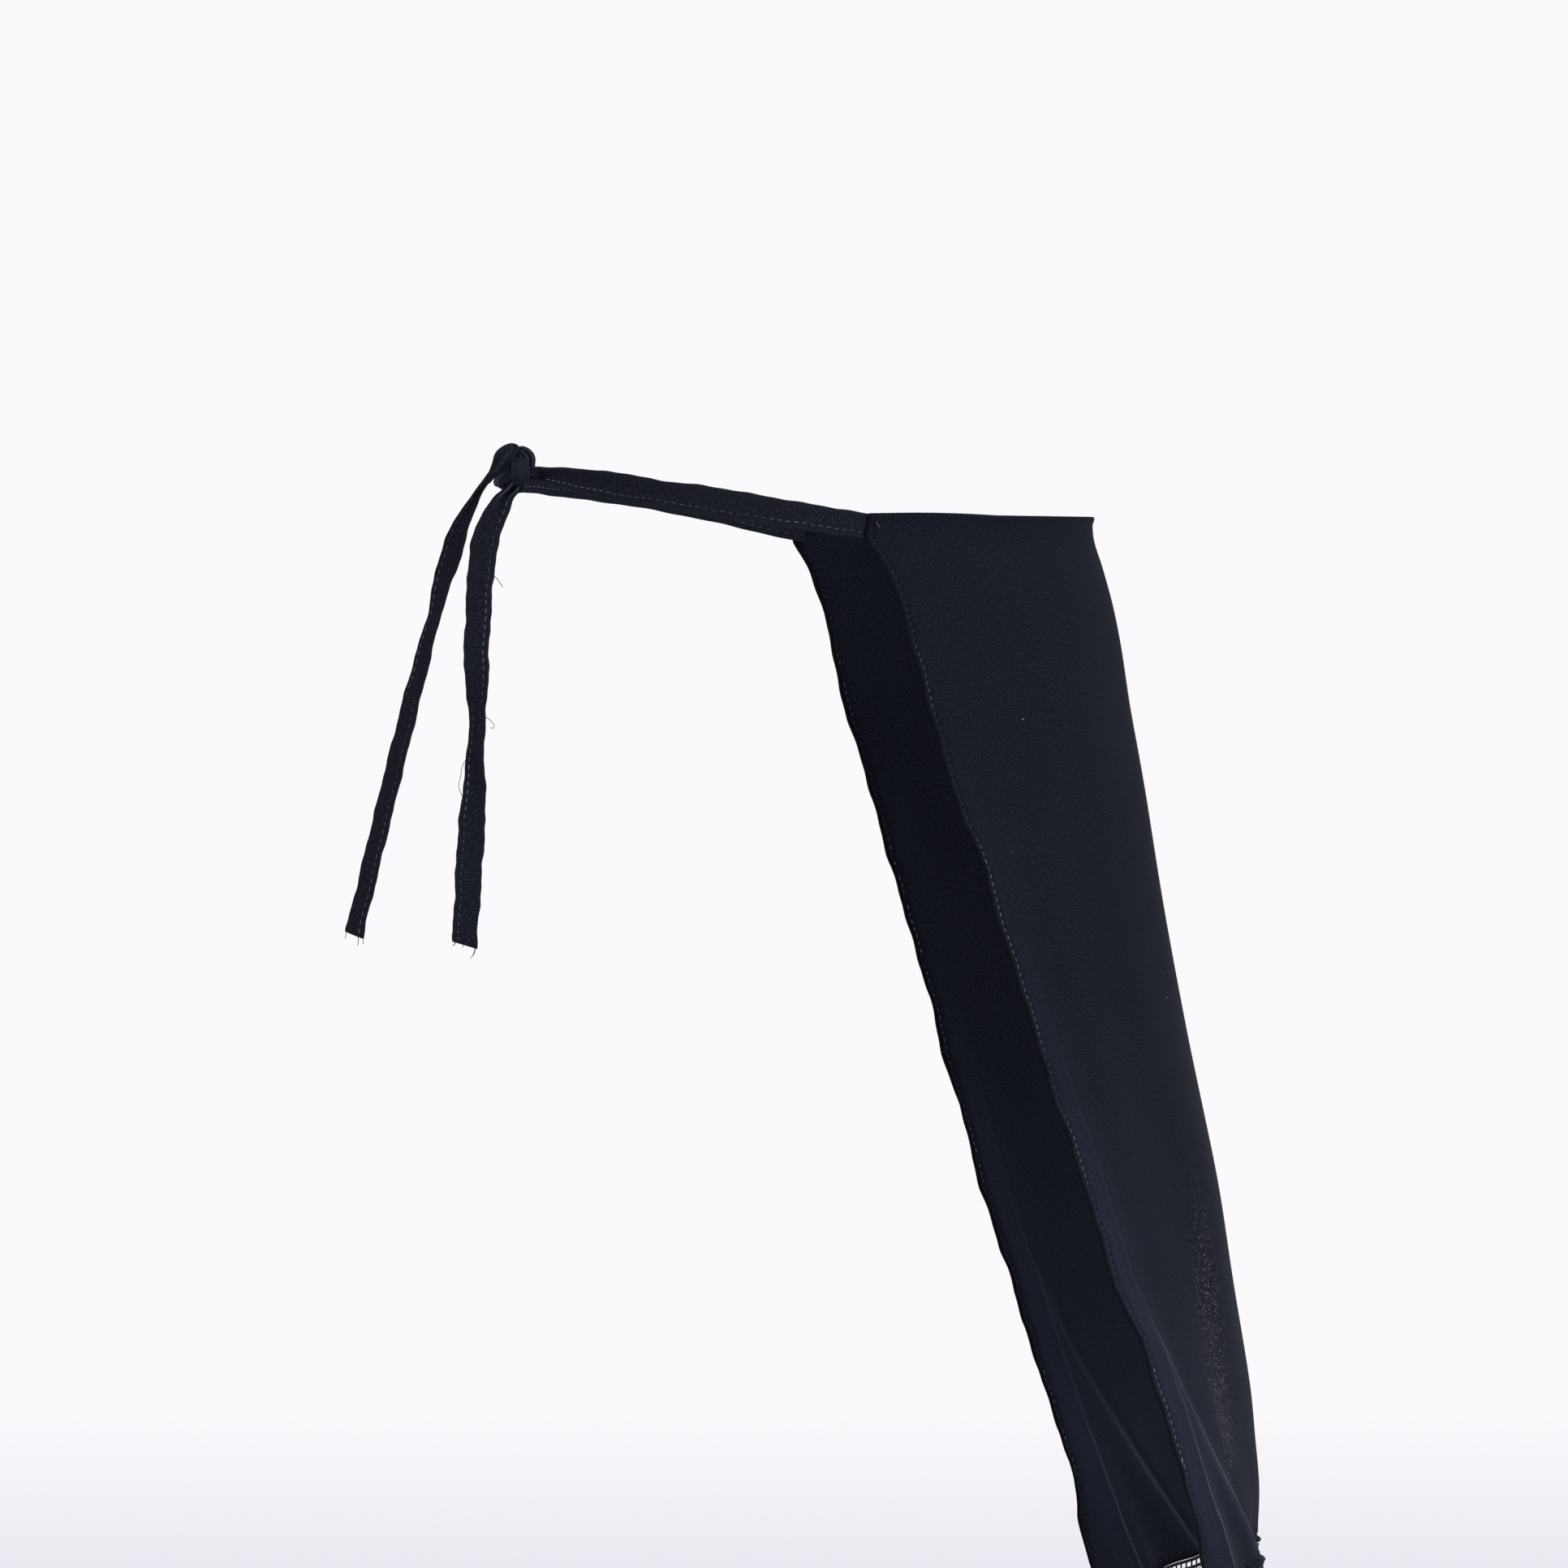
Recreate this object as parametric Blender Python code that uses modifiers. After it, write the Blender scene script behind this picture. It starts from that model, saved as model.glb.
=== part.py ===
"""A niqab in its worn form: a crepe face veil tied behind the head by two flat ties, with a lace hem.

X runs to the wearer's left, Y to the back of the head and Z up. The origin is the middle of the head
opening at the level of the ties. All sizes are in metres and all turns in degrees.
"""

import functools
import math
from collections import namedtuple

import bmesh
import bpy
import numpy as np
from mathutils import Vector

# The gap kept between two pieces that touch.
CLEARANCE = 0.0003

# The head opening, as an ellipse seen from above. Its middle lies behind the origin.
RING_HALF_WIDTH = 0.080
RING_MIDDLE_BACK = 0.012
RING_BACK_RUN = 0.100
CORNER_FORWARD = 0.0132

# The veil, with its front line over the nose and its two side hems.
BRIDGE_FORWARD = 0.1112
HEM_FRONT_FORWARD = 0.1690
HEM_SIDE_FORWARD = 0.1370
HEM_HALF_WIDTH = 0.1195
FRONT_DROP = 0.3756
SIDE_DROP = 0.4110
TOP_DIP = 0.0009
PANEL_THICKNESS = 0.0012
HEM_THICKNESS = 0.0020
SIDE_HEM_WIDTH = 0.0040
# The cloth leans at its lower edge, so the inner rim hangs this share of its thickness below the outer.
HEM_LEAN = 0.24
VEIL_COLUMNS = 48
VEIL_ROWS = 28
ROW_CROWDING = 1.3
COLUMN_CROWDING = 0.25
PLAN_STEPS = 80

# The two ties and their free tails.
TIE_WIDTH = 0.0105
TIE_THICKNESS = 0.0012
TIE_FRONT_LEVEL = -0.0102
TIE_KNOT_LEVEL = 0.0098
TIE_SAG = 0.0008
TIE_CREASE = 0.0022
TIE_STEPS = 26
TIE_COLUMNS = 2
TAIL_STEPS = 28
TAIL_LENGTH = 0.1695
TAIL_RIGHT_RUN = 0.0210
TAIL_RIGHT_DRIFT = -0.0100
TAIL_LEFT_RUN = 0.0450
TAIL_LEFT_DRIFT = 0.0320

# The knot stands on the ring, a little to the wearer's right.
KNOT_RING_TURN = 70.3
KNOT_SIZE = 0.0160
KNOT_REACH = 0.0091
KNOT_STAND_OUT = 0.0040
KNOT_LEVEL = 0.0081
KNOT_TURN = 10.0
STRAND_RADIUS = 0.0028

# The lace under the hem.
LACE_DEPTH = 0.0210
LACE_THICKNESS = 0.0010
SCALLOP_PITCH = 0.0078
SCALLOP_RISE = 0.0040
RUFFLE_HEIGHT = 0.0016
EYELET_RIM = 0.0016

# Each section crosses the veil from the front line to a side hem. drop is a share of the veil's height.
# front, side and width are shares of the way from the top edge's own value to the hem's. nose_run and
# cheek_run are shares of the section's half width, and cheek_turn is the way the cloth meets the side hem.
Section = namedtuple("Section", "drop front side width nose_run cheek_run cheek_turn")
SECTIONS = [
    Section(0.000, 0.000, 0.000, 0.000, 0.21, 0.62, 82),
    Section(0.020, -0.012, 0.000, 0.010, 0.21, 0.62, 81),
    Section(0.050, 0.060, 0.052, 0.070, 0.21, 0.61, 78),
    Section(0.085, 0.130, 0.094, 0.134, 0.20, 0.60, 74),
    Section(0.125, 0.186, 0.125, 0.172, 0.20, 0.59, 70),
    Section(0.190, 0.263, 0.185, 0.233, 0.24, 0.55, 65),
    Section(0.270, 0.362, 0.268, 0.315, 0.29, 0.51, 60),
    Section(0.400, 0.510, 0.405, 0.470, 0.33, 0.48, 54),
    Section(0.500, 0.622, 0.505, 0.581, 0.36, 0.47, 50),
    Section(0.640, 0.797, 0.646, 0.725, 0.40, 0.46, 44),
    Section(0.740, 0.885, 0.758, 0.831, 0.42, 0.45, 40),
    Section(0.850, 0.985, 0.883, 0.925, 0.43, 0.44, 34),
    Section(0.950, 1.024, 0.965, 0.979, 0.43, 0.43, 28),
    Section(1.000, 1.000, 1.000, 1.000, 0.43, 0.42, 24),
]

# Each fold is a long ridge or, with a minus height, a hollow. side is -1 on the wearer's right. across
# runs from 0 at the front line to 1 at the side hem, at the fold's top and at the lower hem, and bend
# says how late it turns to its lower place. height is a share of FOLD_HEIGHT and width of the half width.
# Every fold grows from nothing to its own height at the hem, and to twice its width.
FOLD_HEIGHT = 0.0060
FOLD_GROWTH = 1.2
Fold = namedtuple("Fold", "side starts across_top across_hem bend height width")
FOLDS = [
    Fold(-1, 0.18, 0.93, 0.66, 11.0, 0.70, 0.036),
    Fold(-1, 0.68, 0.945, 0.50, 2.0, 0.85, 0.040),
    Fold(-1, 0.68, 0.955, 0.58, 2.2, -0.70, 0.036),
    Fold(-1, 0.30, 0.60, 0.34, 6.0, -0.55, 0.085),
    Fold(1, 0.20, 0.92, 0.74, 7.0, 0.65, 0.040),
    Fold(1, 0.62, 0.93, 0.50, 2.2, 0.75, 0.044),
    Fold(1, 0.64, 0.95, 0.62, 2.4, -0.60, 0.040),
    Fold(1, 0.34, 0.60, 0.30, 4.6, -0.60, 0.085),
]

# Along a tie, from the veil to the knot: how much of its width is spread, and how far it is creased.
Pinch = namedtuple("Pinch", "along width crease")
PINCHES = [
    Pinch(0.00, 0.91, 0.00),
    Pinch(0.20, 0.97, 0.05),
    Pinch(0.44, 1.08, 0.10),
    Pinch(0.58, 0.94, 0.20),
    Pinch(0.69, 1.00, 0.35),
    Pinch(0.78, 0.82, 0.60),
    Pinch(0.87, 0.67, 0.85),
    Pinch(1.00, 0.42, 1.00),
]

# Down a tail from the knot. back is a share of the run that its end stands further back, and left of its
# drift to the wearer's left. turn is the heading of its flat face from straight back.
Hang = namedtuple("Hang", "down back left width turn crease")
RIGHT_HANGS = [
    Hang(0.000, 0.00, 0.00, 0.52, -66, 1.0),
    Hang(0.035, 0.32, 0.06, 0.76, -70, 0.8),
    Hang(0.095, 0.52, 0.14, 1.00, -78, 0.4),
    Hang(0.150, 0.62, 0.25, 0.97, -82, 0.2),
    Hang(0.240, 0.69, 0.38, 0.92, -84, 0.1),
    Hang(0.400, 0.75, 0.52, 0.88, -72, 0.2),
    Hang(0.490, 0.72, 0.60, 0.82, -36, 0.4),
    Hang(0.560, 0.76, 0.68, 0.84, -34, 0.4),
    Hang(0.650, 0.80, 0.76, 0.90, -52, 0.2),
    Hang(0.760, 0.87, 0.84, 0.96, -78, 0.1),
    Hang(1.000, 1.00, 1.00, 0.88, -84, 0.0),
]
LEFT_HANGS = [
    Hang(0.000, 0.00, 0.00, 0.30, -38, 1.0),
    Hang(0.030, 0.06, 0.18, 0.42, -40, 0.9),
    Hang(0.090, 0.16, 0.42, 0.74, -46, 0.5),
    Hang(0.170, 0.25, 0.56, 0.92, -48, 0.2),
    Hang(0.230, 0.31, 0.62, 0.84, -40, 0.2),
    Hang(0.300, 0.37, 0.66, 0.74, -30, 0.3),
    Hang(0.400, 0.47, 0.72, 0.86, -32, 0.1),
    Hang(0.600, 0.65, 0.84, 0.92, -34, 0.0),
    Hang(1.000, 1.00, 1.00, 0.90, -36, 0.0),
]

# The knot's strands, in its own frame: right and up as seen on its face, out towards the viewer. They
# are shares of the knot's size, and radius is a share of the strand's.
Bead = namedtuple("Bead", "right up out radius")
KNOT_STRANDS = {
    "top_lobe": [
        Bead(0.02, 0.36, 0.10, 0.95),
        Bead(-0.12, 0.56, 0.00, 1.15),
        Bead(-0.34, 0.42, -0.16, 1.30),
        Bead(-0.50, 0.20, -0.34, 1.05),
        Bead(-0.60, 0.02, -0.46, 0.62),
    ],
    "turn_over": [
        Bead(-0.10, 0.46, -0.10, 0.70),
        Bead(0.12, 0.55, -0.02, 0.80),
        Bead(0.28, 0.34, 0.04, 0.85),
        Bead(0.20, 0.10, 0.10, 0.80),
    ],
    "wrap": [
        Bead(0.10, 0.28, 0.14, 0.85),
        Bead(0.03, 0.10, 0.26, 1.15),
        Bead(0.02, -0.08, 0.20, 1.00),
        Bead(0.00, -0.13, 0.08, 0.80),
    ],
    "under": [
        Bead(0.36, 0.10, -0.04, 0.74),
        Bead(0.12, 0.08, 0.02, 1.00),
        Bead(-0.12, 0.06, -0.22, 1.00),
        Bead(-0.22, 0.04, -0.58, 0.80),
    ],
}
STRAND_STEPS = 12
NumberedBead = namedtuple("NumberedBead", "along right up out radius")


def material(name, colour, roughness):
    """A Principled material in a plain colour."""
    made = bpy.data.materials.new(name)
    made.use_nodes = True
    shader = made.node_tree.nodes["Principled BSDF"]
    shader.inputs["Base Color"].default_value = (*colour, 1.0)
    shader.inputs["Roughness"].default_value = roughness
    shader.inputs["Metallic"].default_value = 0.0
    return made


def through(rows, key, column, at):
    """One column of a table, read smoothly at a place of its key column and without overshoot."""
    places = np.array([getattr(row, key) for row in rows], float)
    values = np.array([getattr(row, column) for row in rows], float)
    steps = np.diff(places)
    slopes = np.diff(values) / steps
    tangents = np.concatenate([slopes[:1], (slopes[:-1] + slopes[1:]) / 2, slopes[-1:]])
    for i, turning in enumerate(slopes[:-1] * slopes[1:] <= 0):
        if turning:
            tangents[i + 1] = 0.0
    i = int(np.clip(np.searchsorted(places, at) - 1, 0, len(steps) - 1))
    u = (at - places[i]) / steps[i]
    start = (1 + 2 * u) * (1 - u) ** 2 * values[i] + u * (1 - u) ** 2 * steps[i] * tangents[i]
    end = u**2 * (3 - 2 * u) * values[i + 1] + u**2 * (u - 1) * steps[i] * tangents[i + 1]
    return float(start + end)


def ring_point(turn):
    """A point of the head opening, by its turn from straight to one side (0) to straight back (90)."""
    angle = math.radians(turn)
    return Vector(
        (RING_HALF_WIDTH * math.cos(angle), RING_MIDDLE_BACK + RING_BACK_RUN * math.sin(angle), 0.0)
    )


def ring_outward(turn):
    """The way straight out of the head opening at a turn."""
    angle = math.radians(turn)
    outward = Vector((math.cos(angle) / RING_HALF_WIDTH, math.sin(angle) / RING_BACK_RUN, 0.0))
    return outward.normalized()


def knot_point(right, up, out):
    """A point of the knot's frame. All three are shares of the knot's size."""
    turn = math.radians(KNOT_TURN)
    rightward = Vector((-math.sin(turn), -math.cos(turn), 0.0))
    facing = Vector((-math.cos(turn), math.sin(turn), 0.0))
    return KNOT_CENTRE + KNOT_SIZE * (right * rightward + up * Vector((0.0, 0.0, 1.0)) + out * facing)


CORNER_TURN = math.degrees(math.asin((-CORNER_FORWARD - RING_MIDDLE_BACK) / RING_BACK_RUN))
CORNER_OUT = ring_point(CORNER_TURN).x
TOP_LEVEL = TIE_FRONT_LEVEL + 0.5 * TIE_WIDTH * PINCHES[0].width
KNOT_RING_POINT = ring_point(KNOT_RING_TURN)
KNOT_REACH_TURN = math.degrees(KNOT_REACH / RING_HALF_WIDTH)
knot_out = KNOT_RING_POINT + ring_outward(KNOT_RING_TURN) * KNOT_STAND_OUT
KNOT_CENTRE = Vector((-knot_out.x, knot_out.y, KNOT_LEVEL))
TAIL_RIGHT_ROOT = knot_point(0.00, -0.305, 0.06) - Vector((0.0, 0.0, CLEARANCE))
TAIL_LEFT_ROOT = knot_point(-0.64, -0.075, -0.47) - Vector((0.0, 0.0, CLEARANCE))


@functools.lru_cache(maxsize=None)
def plan_of(drop):
    """The veil's half section at a drop: points at even steps of cloth from the front line to the side."""
    front_share, side_share, width_share, nose_run, cheek_run, cheek_turn = (
        through(SECTIONS, "drop", column, drop) for column in Section._fields[1:]
    )
    half_width = CORNER_OUT + (HEM_HALF_WIDTH - CORNER_OUT) * width_share
    front = np.array([0.0, -BRIDGE_FORWARD - (HEM_FRONT_FORWARD - BRIDGE_FORWARD) * front_share])
    side = np.array([half_width, -CORNER_FORWARD - (HEM_SIDE_FORWARD - CORNER_FORWARD) * side_share])
    turn = math.radians(cheek_turn)
    nose = front + np.array([nose_run * half_width, 0.0])
    cheek = side - cheek_run * half_width * np.array([math.cos(turn), math.sin(turn)])
    u = np.linspace(0.0, 1.0, PLAN_STEPS + 1)[:, None]
    line = (
        (1 - u) ** 3 * front + 3 * u * (1 - u) ** 2 * nose + 3 * u**2 * (1 - u) * cheek + u**3 * side
    )
    run = np.concatenate([[0.0], np.cumsum(np.linalg.norm(np.diff(line, axis=0), axis=1))])
    even = np.linspace(0.0, run[-1], PLAN_STEPS + 1)
    return np.stack([np.interp(even, run, line[:, 0]), np.interp(even, run, line[:, 1])], axis=1)


def fold_height(across, drop):
    """How far the folds push the cloth out at a place of the veil."""
    height = 0.0
    for fold in FOLDS:
        if drop <= fold.starts:
            continue
        down = (drop - fold.starts) / (1 - fold.starts)
        middle = fold.across_top + (fold.across_hem - fold.across_top) * down**fold.bend
        reach = (across * fold.side - middle) / (fold.width * (1 + down))
        height += FOLD_HEIGHT * fold.height * down**FOLD_GROWTH * math.exp(-(reach**2))
    return height


def veil_point(across, drop):
    """A point of the veil's outer face. across runs from -1 at the right side hem to 1 at the left."""
    plan = plan_of(round(drop, 6))
    half = min(abs(across), 1.0)
    place = half * (len(plan) - 1)
    i = min(int(place), len(plan) - 2)
    at = plan[i] + (plan[i + 1] - plan[i]) * (place - i)
    along = plan[min(i + 2, len(plan) - 1)] - plan[max(i - 1, 0)]
    if half < 1e-6:
        along = np.array([1.0, 0.0])
    along = along / np.linalg.norm(along)
    at = at + np.array([along[1], -along[0]]) * fold_height(across, drop)
    level = TOP_LEVEL - TOP_DIP * (1 - half**2)
    fall = FRONT_DROP + (SIDE_DROP - FRONT_DROP) * half**2
    return Vector((math.copysign(1.0, across) * at[0], at[1], level - drop * fall))


def grid_object(name, columns, rows, place):
    """A grid whose points are moved by place(u, v), with u and v from 0 to 1."""
    bpy.ops.mesh.primitive_grid_add(x_subdivisions=columns, y_subdivisions=rows, size=2)
    made = bpy.context.object
    made.name = name
    for vertex in made.data.vertices:
        vertex.co = place((vertex.co.x + 1) / 2, (vertex.co.y + 1) / 2)
    made.data.update()
    return made


def thicken(piece, thickness, offset=-1.0):
    """Gives a sheet its thickness, inwards from its outer face unless an offset says otherwise."""
    wall = piece.modifiers.new("Wall", "SOLIDIFY")
    wall.thickness = thickness
    wall.offset = offset
    return wall


def finish(piece, colour):
    """Shades a piece smooth and puts it in the object's collection with its own material."""
    piece.data.materials.clear()
    piece.data.materials.append(colour)
    piece.data.shade_smooth()
    for holder in list(piece.users_collection):
        holder.objects.unlink(piece)
    niqab.objects.link(piece)


def make_veil():
    """The face veil: a sheet hung from the nose and the two top corners, thicker along its hems."""
    edge = SIDE_HEM_WIDTH / CORNER_OUT
    inner = 1 - 2 / VEIL_COLUMNS

    def place(u, v):
        share = min(abs(2 * u - 1) / inner, 1.0)
        across = (1 - edge) * share * (1 + COLUMN_CROWDING * (1 - share**2))
        if abs(2 * u - 1) > inner + 1e-6:
            across = 1.0
        return veil_point(math.copysign(across, 2 * u - 1), (1 - v) ** ROW_CROWDING)

    veil = grid_object("veil_panel", VEIL_COLUMNS, VEIL_ROWS, place)
    hems = veil.vertex_groups.new(name="Hems")
    for j in range(VEIL_ROWS + 1):
        for i in range(VEIL_COLUMNS + 1):
            if i in (0, VEIL_COLUMNS) or j in (0, VEIL_ROWS):
                hems.add([j * (VEIL_COLUMNS + 1) + i], 1.0, "REPLACE")
    wall = thicken(veil, HEM_THICKNESS)
    wall.vertex_group = hems.name
    wall.thickness_vertex_group = PANEL_THICKNESS / HEM_THICKNESS
    finish(veil, material("Navy crepe", (0.0105, 0.0125, 0.0205), 0.75))


def hem_length():
    """The length of the veil's lower edge, along its folds."""
    points = [veil_point(across, 1.0) for across in np.linspace(-1.0, 1.0, 2 * PLAN_STEPS + 1)]
    return sum((b - a).length for a, b in zip(points, points[1:]))


def make_lace():
    """The lace: a band of eyelets under the hem, scalloped along its lower edge and lightly ruffled."""
    scallops = round(hem_length() / SCALLOP_PITCH)
    bpy.ops.mesh.primitive_grid_add(x_subdivisions=2 * scallops, y_subdivisions=4, size=2)
    lace = bpy.context.object
    lace.name = "lace_trim"
    shape = bmesh.new()
    shape.from_mesh(lace.data)
    for vertex in shape.verts:
        vertex.co = Vector(
            ((vertex.co.x + 1) / 2 * scallops * SCALLOP_PITCH, (vertex.co.y + 1) / 2 * LACE_DEPTH, 0.0)
        )
    middles = [
        vertex
        for vertex in shape.verts
        if not vertex.is_boundary
        and round(2 * vertex.co.x / SCALLOP_PITCH) % 2
        and round(4 * vertex.co.y / LACE_DEPTH) % 2
    ]
    bmesh.ops.dissolve_verts(shape, verts=middles)
    windows = list(shape.faces)
    bmesh.ops.inset_individual(shape, faces=windows, thickness=EYELET_RIM)
    bmesh.ops.delete(shape, geom=windows, context="FACES")
    for vertex in shape.verts:
        vertex.co = lace_point(
            vertex.co.x / SCALLOP_PITCH, 1 - vertex.co.y / LACE_DEPTH, scallops
        )
    shape.to_mesh(lace.data)
    shape.free()
    thicken(lace, LACE_THICKNESS)
    finish(lace, material("Navy lace", (0.012, 0.014, 0.022), 0.65))


def lace_point(scallop, below, scallops):
    """A point of the lace's outer face, at so many scallops from its right end and a share of its depth."""
    across = 2 * scallop / scallops - 1
    hem = veil_point(across, 1.0)
    inside = Vector((0.0, 0.5 * (HEM_THICKNESS - LACE_THICKNESS), 0.0))
    rise = SCALLOP_RISE * abs(math.cos(math.pi * scallop)) * below**2
    wave = RUFFLE_HEIGHT * math.sin(math.pi * scallop) * below
    drop = CLEARANCE + HEM_LEAN * HEM_THICKNESS + below * LACE_DEPTH - rise
    return hem + inside + Vector((0.0, -wave, -drop))


def tie_point(turn, share, side, across):
    """A point of a tie's outer face, at a turn round the ring and across its width from -1 to 1."""
    ring = ring_point(turn)
    outward = ring_outward(turn)
    width = TIE_WIDTH * through(PINCHES, "along", "width", share)
    crease = TIE_CREASE * through(PINCHES, "along", "crease", share)
    level = TIE_FRONT_LEVEL + (TIE_KNOT_LEVEL - TIE_FRONT_LEVEL) * (
        (ring.y + CORNER_FORWARD) / (KNOT_RING_POINT.y + CORNER_FORWARD)
    )
    level -= TIE_SAG * math.sin(math.pi * share)
    at = ring + outward * (crease * (abs(across) - 0.5)) + Vector((0.0, 0.0, level + across * width / 2))
    return Vector((side * at.x, at.y, at.z))


def make_tie(name, side, end_turn, cloth):
    """A flat tie from a top corner of the veil, round the head to a turn short of the knot."""
    start_turn = CORNER_TURN + math.degrees(CLEARANCE / RING_BACK_RUN)

    def place(u, v):
        across = side * (1 - 2 * v)
        return tie_point(start_turn + (end_turn - start_turn) * u, u, side, across)

    tie = grid_object(name, TIE_STEPS, TIE_COLUMNS, place)
    thicken(tie, TIE_THICKNESS)
    finish(tie, cloth)


def tail_point(hangs, root, run, drift, share, across):
    """A point of a tail's outer face, at a share of its length and across its width from -1 to 1."""
    down, back, left, width, turn, crease = (
        share if column == "down" else through(hangs, "down", column, share) for column in Hang._fields
    )
    heading = math.radians(turn)
    face = Vector((math.sin(heading), math.cos(heading), 0.0))
    edge = Vector((math.cos(heading), -math.sin(heading), 0.0))
    middle = root + Vector((drift * left, run * back, -TAIL_LENGTH * down))
    spread = across * 0.5 * TIE_WIDTH * width
    return middle + edge * spread + face * (TIE_CREASE * crease * (abs(across) - 0.5))


def make_tail(name, hangs, root, run, drift, cloth):
    """A free end of a tie, hanging from the knot."""

    def place(u, v):
        return tail_point(hangs, root, run, drift, 1 - v, 1 - 2 * u)

    tail = grid_object(name, TIE_COLUMNS, TAIL_STEPS, place)
    thicken(tail, TIE_THICKNESS, 0.0)
    finish(tail, cloth)


def make_strand(name, beads):
    """One strand of the knot: a tube through its beads, as a closed mesh."""
    data = bpy.data.curves.new(name, "CURVE")
    data.dimensions = "3D"
    data.bevel_depth = STRAND_RADIUS
    data.bevel_resolution = 2
    data.use_fill_caps = True
    line = data.splines.new("POLY")
    line.points.add(STRAND_STEPS)
    numbered = [NumberedBead(i / (len(beads) - 1), *bead) for i, bead in enumerate(beads)]
    for i, point in enumerate(line.points):
        right, up, out, radius = (
            through(numbered, "along", column, i / STRAND_STEPS) for column in Bead._fields
        )
        point.co = (*knot_point(right, up, out), 1.0)
        point.radius = radius
    tube = bpy.data.objects.new(name + "_tube", data)
    bpy.context.scene.collection.objects.link(tube)
    evaluated = tube.evaluated_get(bpy.context.evaluated_depsgraph_get())
    mesh = bpy.data.meshes.new_from_object(evaluated)
    shape = bmesh.new()
    shape.from_mesh(mesh)
    bmesh.ops.remove_doubles(shape, verts=shape.verts, dist=1e-6)
    bmesh.ops.recalc_face_normals(shape, faces=shape.faces)
    shape.to_mesh(mesh)
    shape.free()
    strand = bpy.data.objects.new(name, mesh)
    strand.matrix_world = tube.matrix_world
    bpy.data.objects.remove(tube)
    return strand


def make_knot():
    """The knot: its strands joined into one body."""
    strands = [make_strand(name, beads) for name, beads in KNOT_STRANDS.items()]
    knot = strands[0]
    knot.name = "knot"
    for strand in strands[1:]:
        helpers.objects.link(strand)
        strand.hide_render = True
        strand.display_type = "WIRE"
        join = knot.modifiers.new("Join " + strand.name, "BOOLEAN")
        join.operation = "UNION"
        join.use_self = True
        join.object = strand
    finish(knot, material("Navy crepe in the knot", (0.0115, 0.0135, 0.0225), 0.75))


for old in list(bpy.data.objects):
    bpy.data.objects.remove(old)
niqab = bpy.data.collections.new("Niqab")
helpers = bpy.data.collections.new("Helpers")
bpy.context.scene.collection.children.link(niqab)
bpy.context.scene.collection.children.link(helpers)

tie_cloth = material("Navy crepe, folded", (0.0125, 0.0150, 0.0250), 0.75)

make_veil()
make_lace()
make_tie("tie_right", -1, KNOT_RING_TURN - KNOT_REACH_TURN, tie_cloth)
make_tie("tie_left", 1, 180 - KNOT_RING_TURN - KNOT_REACH_TURN, tie_cloth)
make_knot()
make_tail("tail_right", RIGHT_HANGS, TAIL_RIGHT_ROOT, TAIL_RIGHT_RUN, TAIL_RIGHT_DRIFT, tie_cloth)
make_tail("tail_left", LEFT_HANGS, TAIL_LEFT_ROOT, TAIL_LEFT_RUN, TAIL_LEFT_DRIFT, tie_cloth)
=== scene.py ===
"""A niqab in its worn form: a crepe face veil, two flat ties knotted at the back, and a lace hem.

X runs to the part's own left, Y to its back and Z up, in metres. Sizes in millimetres end in _MM or _mm.
"""

import math
from collections import namedtuple

import bpy
import numpy as np
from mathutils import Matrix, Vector


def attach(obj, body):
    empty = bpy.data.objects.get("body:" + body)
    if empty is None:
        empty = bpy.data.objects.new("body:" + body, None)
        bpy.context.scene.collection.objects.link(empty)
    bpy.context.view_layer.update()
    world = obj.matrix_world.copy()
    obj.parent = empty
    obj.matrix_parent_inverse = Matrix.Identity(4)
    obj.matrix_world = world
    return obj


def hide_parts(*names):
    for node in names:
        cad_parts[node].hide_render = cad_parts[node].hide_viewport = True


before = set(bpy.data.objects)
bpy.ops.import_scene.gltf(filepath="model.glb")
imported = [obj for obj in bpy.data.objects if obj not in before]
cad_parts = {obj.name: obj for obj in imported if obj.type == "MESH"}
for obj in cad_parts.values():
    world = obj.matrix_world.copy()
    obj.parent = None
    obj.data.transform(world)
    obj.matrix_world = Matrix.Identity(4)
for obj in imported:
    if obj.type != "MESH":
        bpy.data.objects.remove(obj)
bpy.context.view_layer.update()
bpy.ops.object.select_all(action="DESELECT")

# The camera: level, on the part's right and ten degrees behind its side. The lens is long, because the
# outline was read as a flat one. The frame is 580 mm wide where it crosses the near part of the veil.
VIEW_TURN = math.radians(260)
FRAME_WIDTH = 0.5796
FRAME_NEARER = 0.03
CAMERA_AWAY = 20.0
AIM_RIGHT = -0.0042
AIM_UP = -0.1053
SENSOR_MM = 36.0

towards_camera = Vector((math.sin(VIEW_TURN), -math.cos(VIEW_TURN), 0.0))
image_right = Vector((-towards_camera.y, towards_camera.x, 0.0))
aim = image_right * AIM_RIGHT + Vector((0.0, 0.0, AIM_UP))
bpy.ops.object.camera_add(location=aim + towards_camera * CAMERA_AWAY)
camera = bpy.context.object
camera.rotation_euler = (-towards_camera).to_track_quat("-Z", "Y").to_euler()
camera.data.sensor_width = SENSOR_MM
camera.data.lens = SENSOR_MM * (CAMERA_AWAY - FRAME_NEARER) / FRAME_WIDTH
camera.data.clip_end = 100.0
bpy.context.scene.camera = camera

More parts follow.
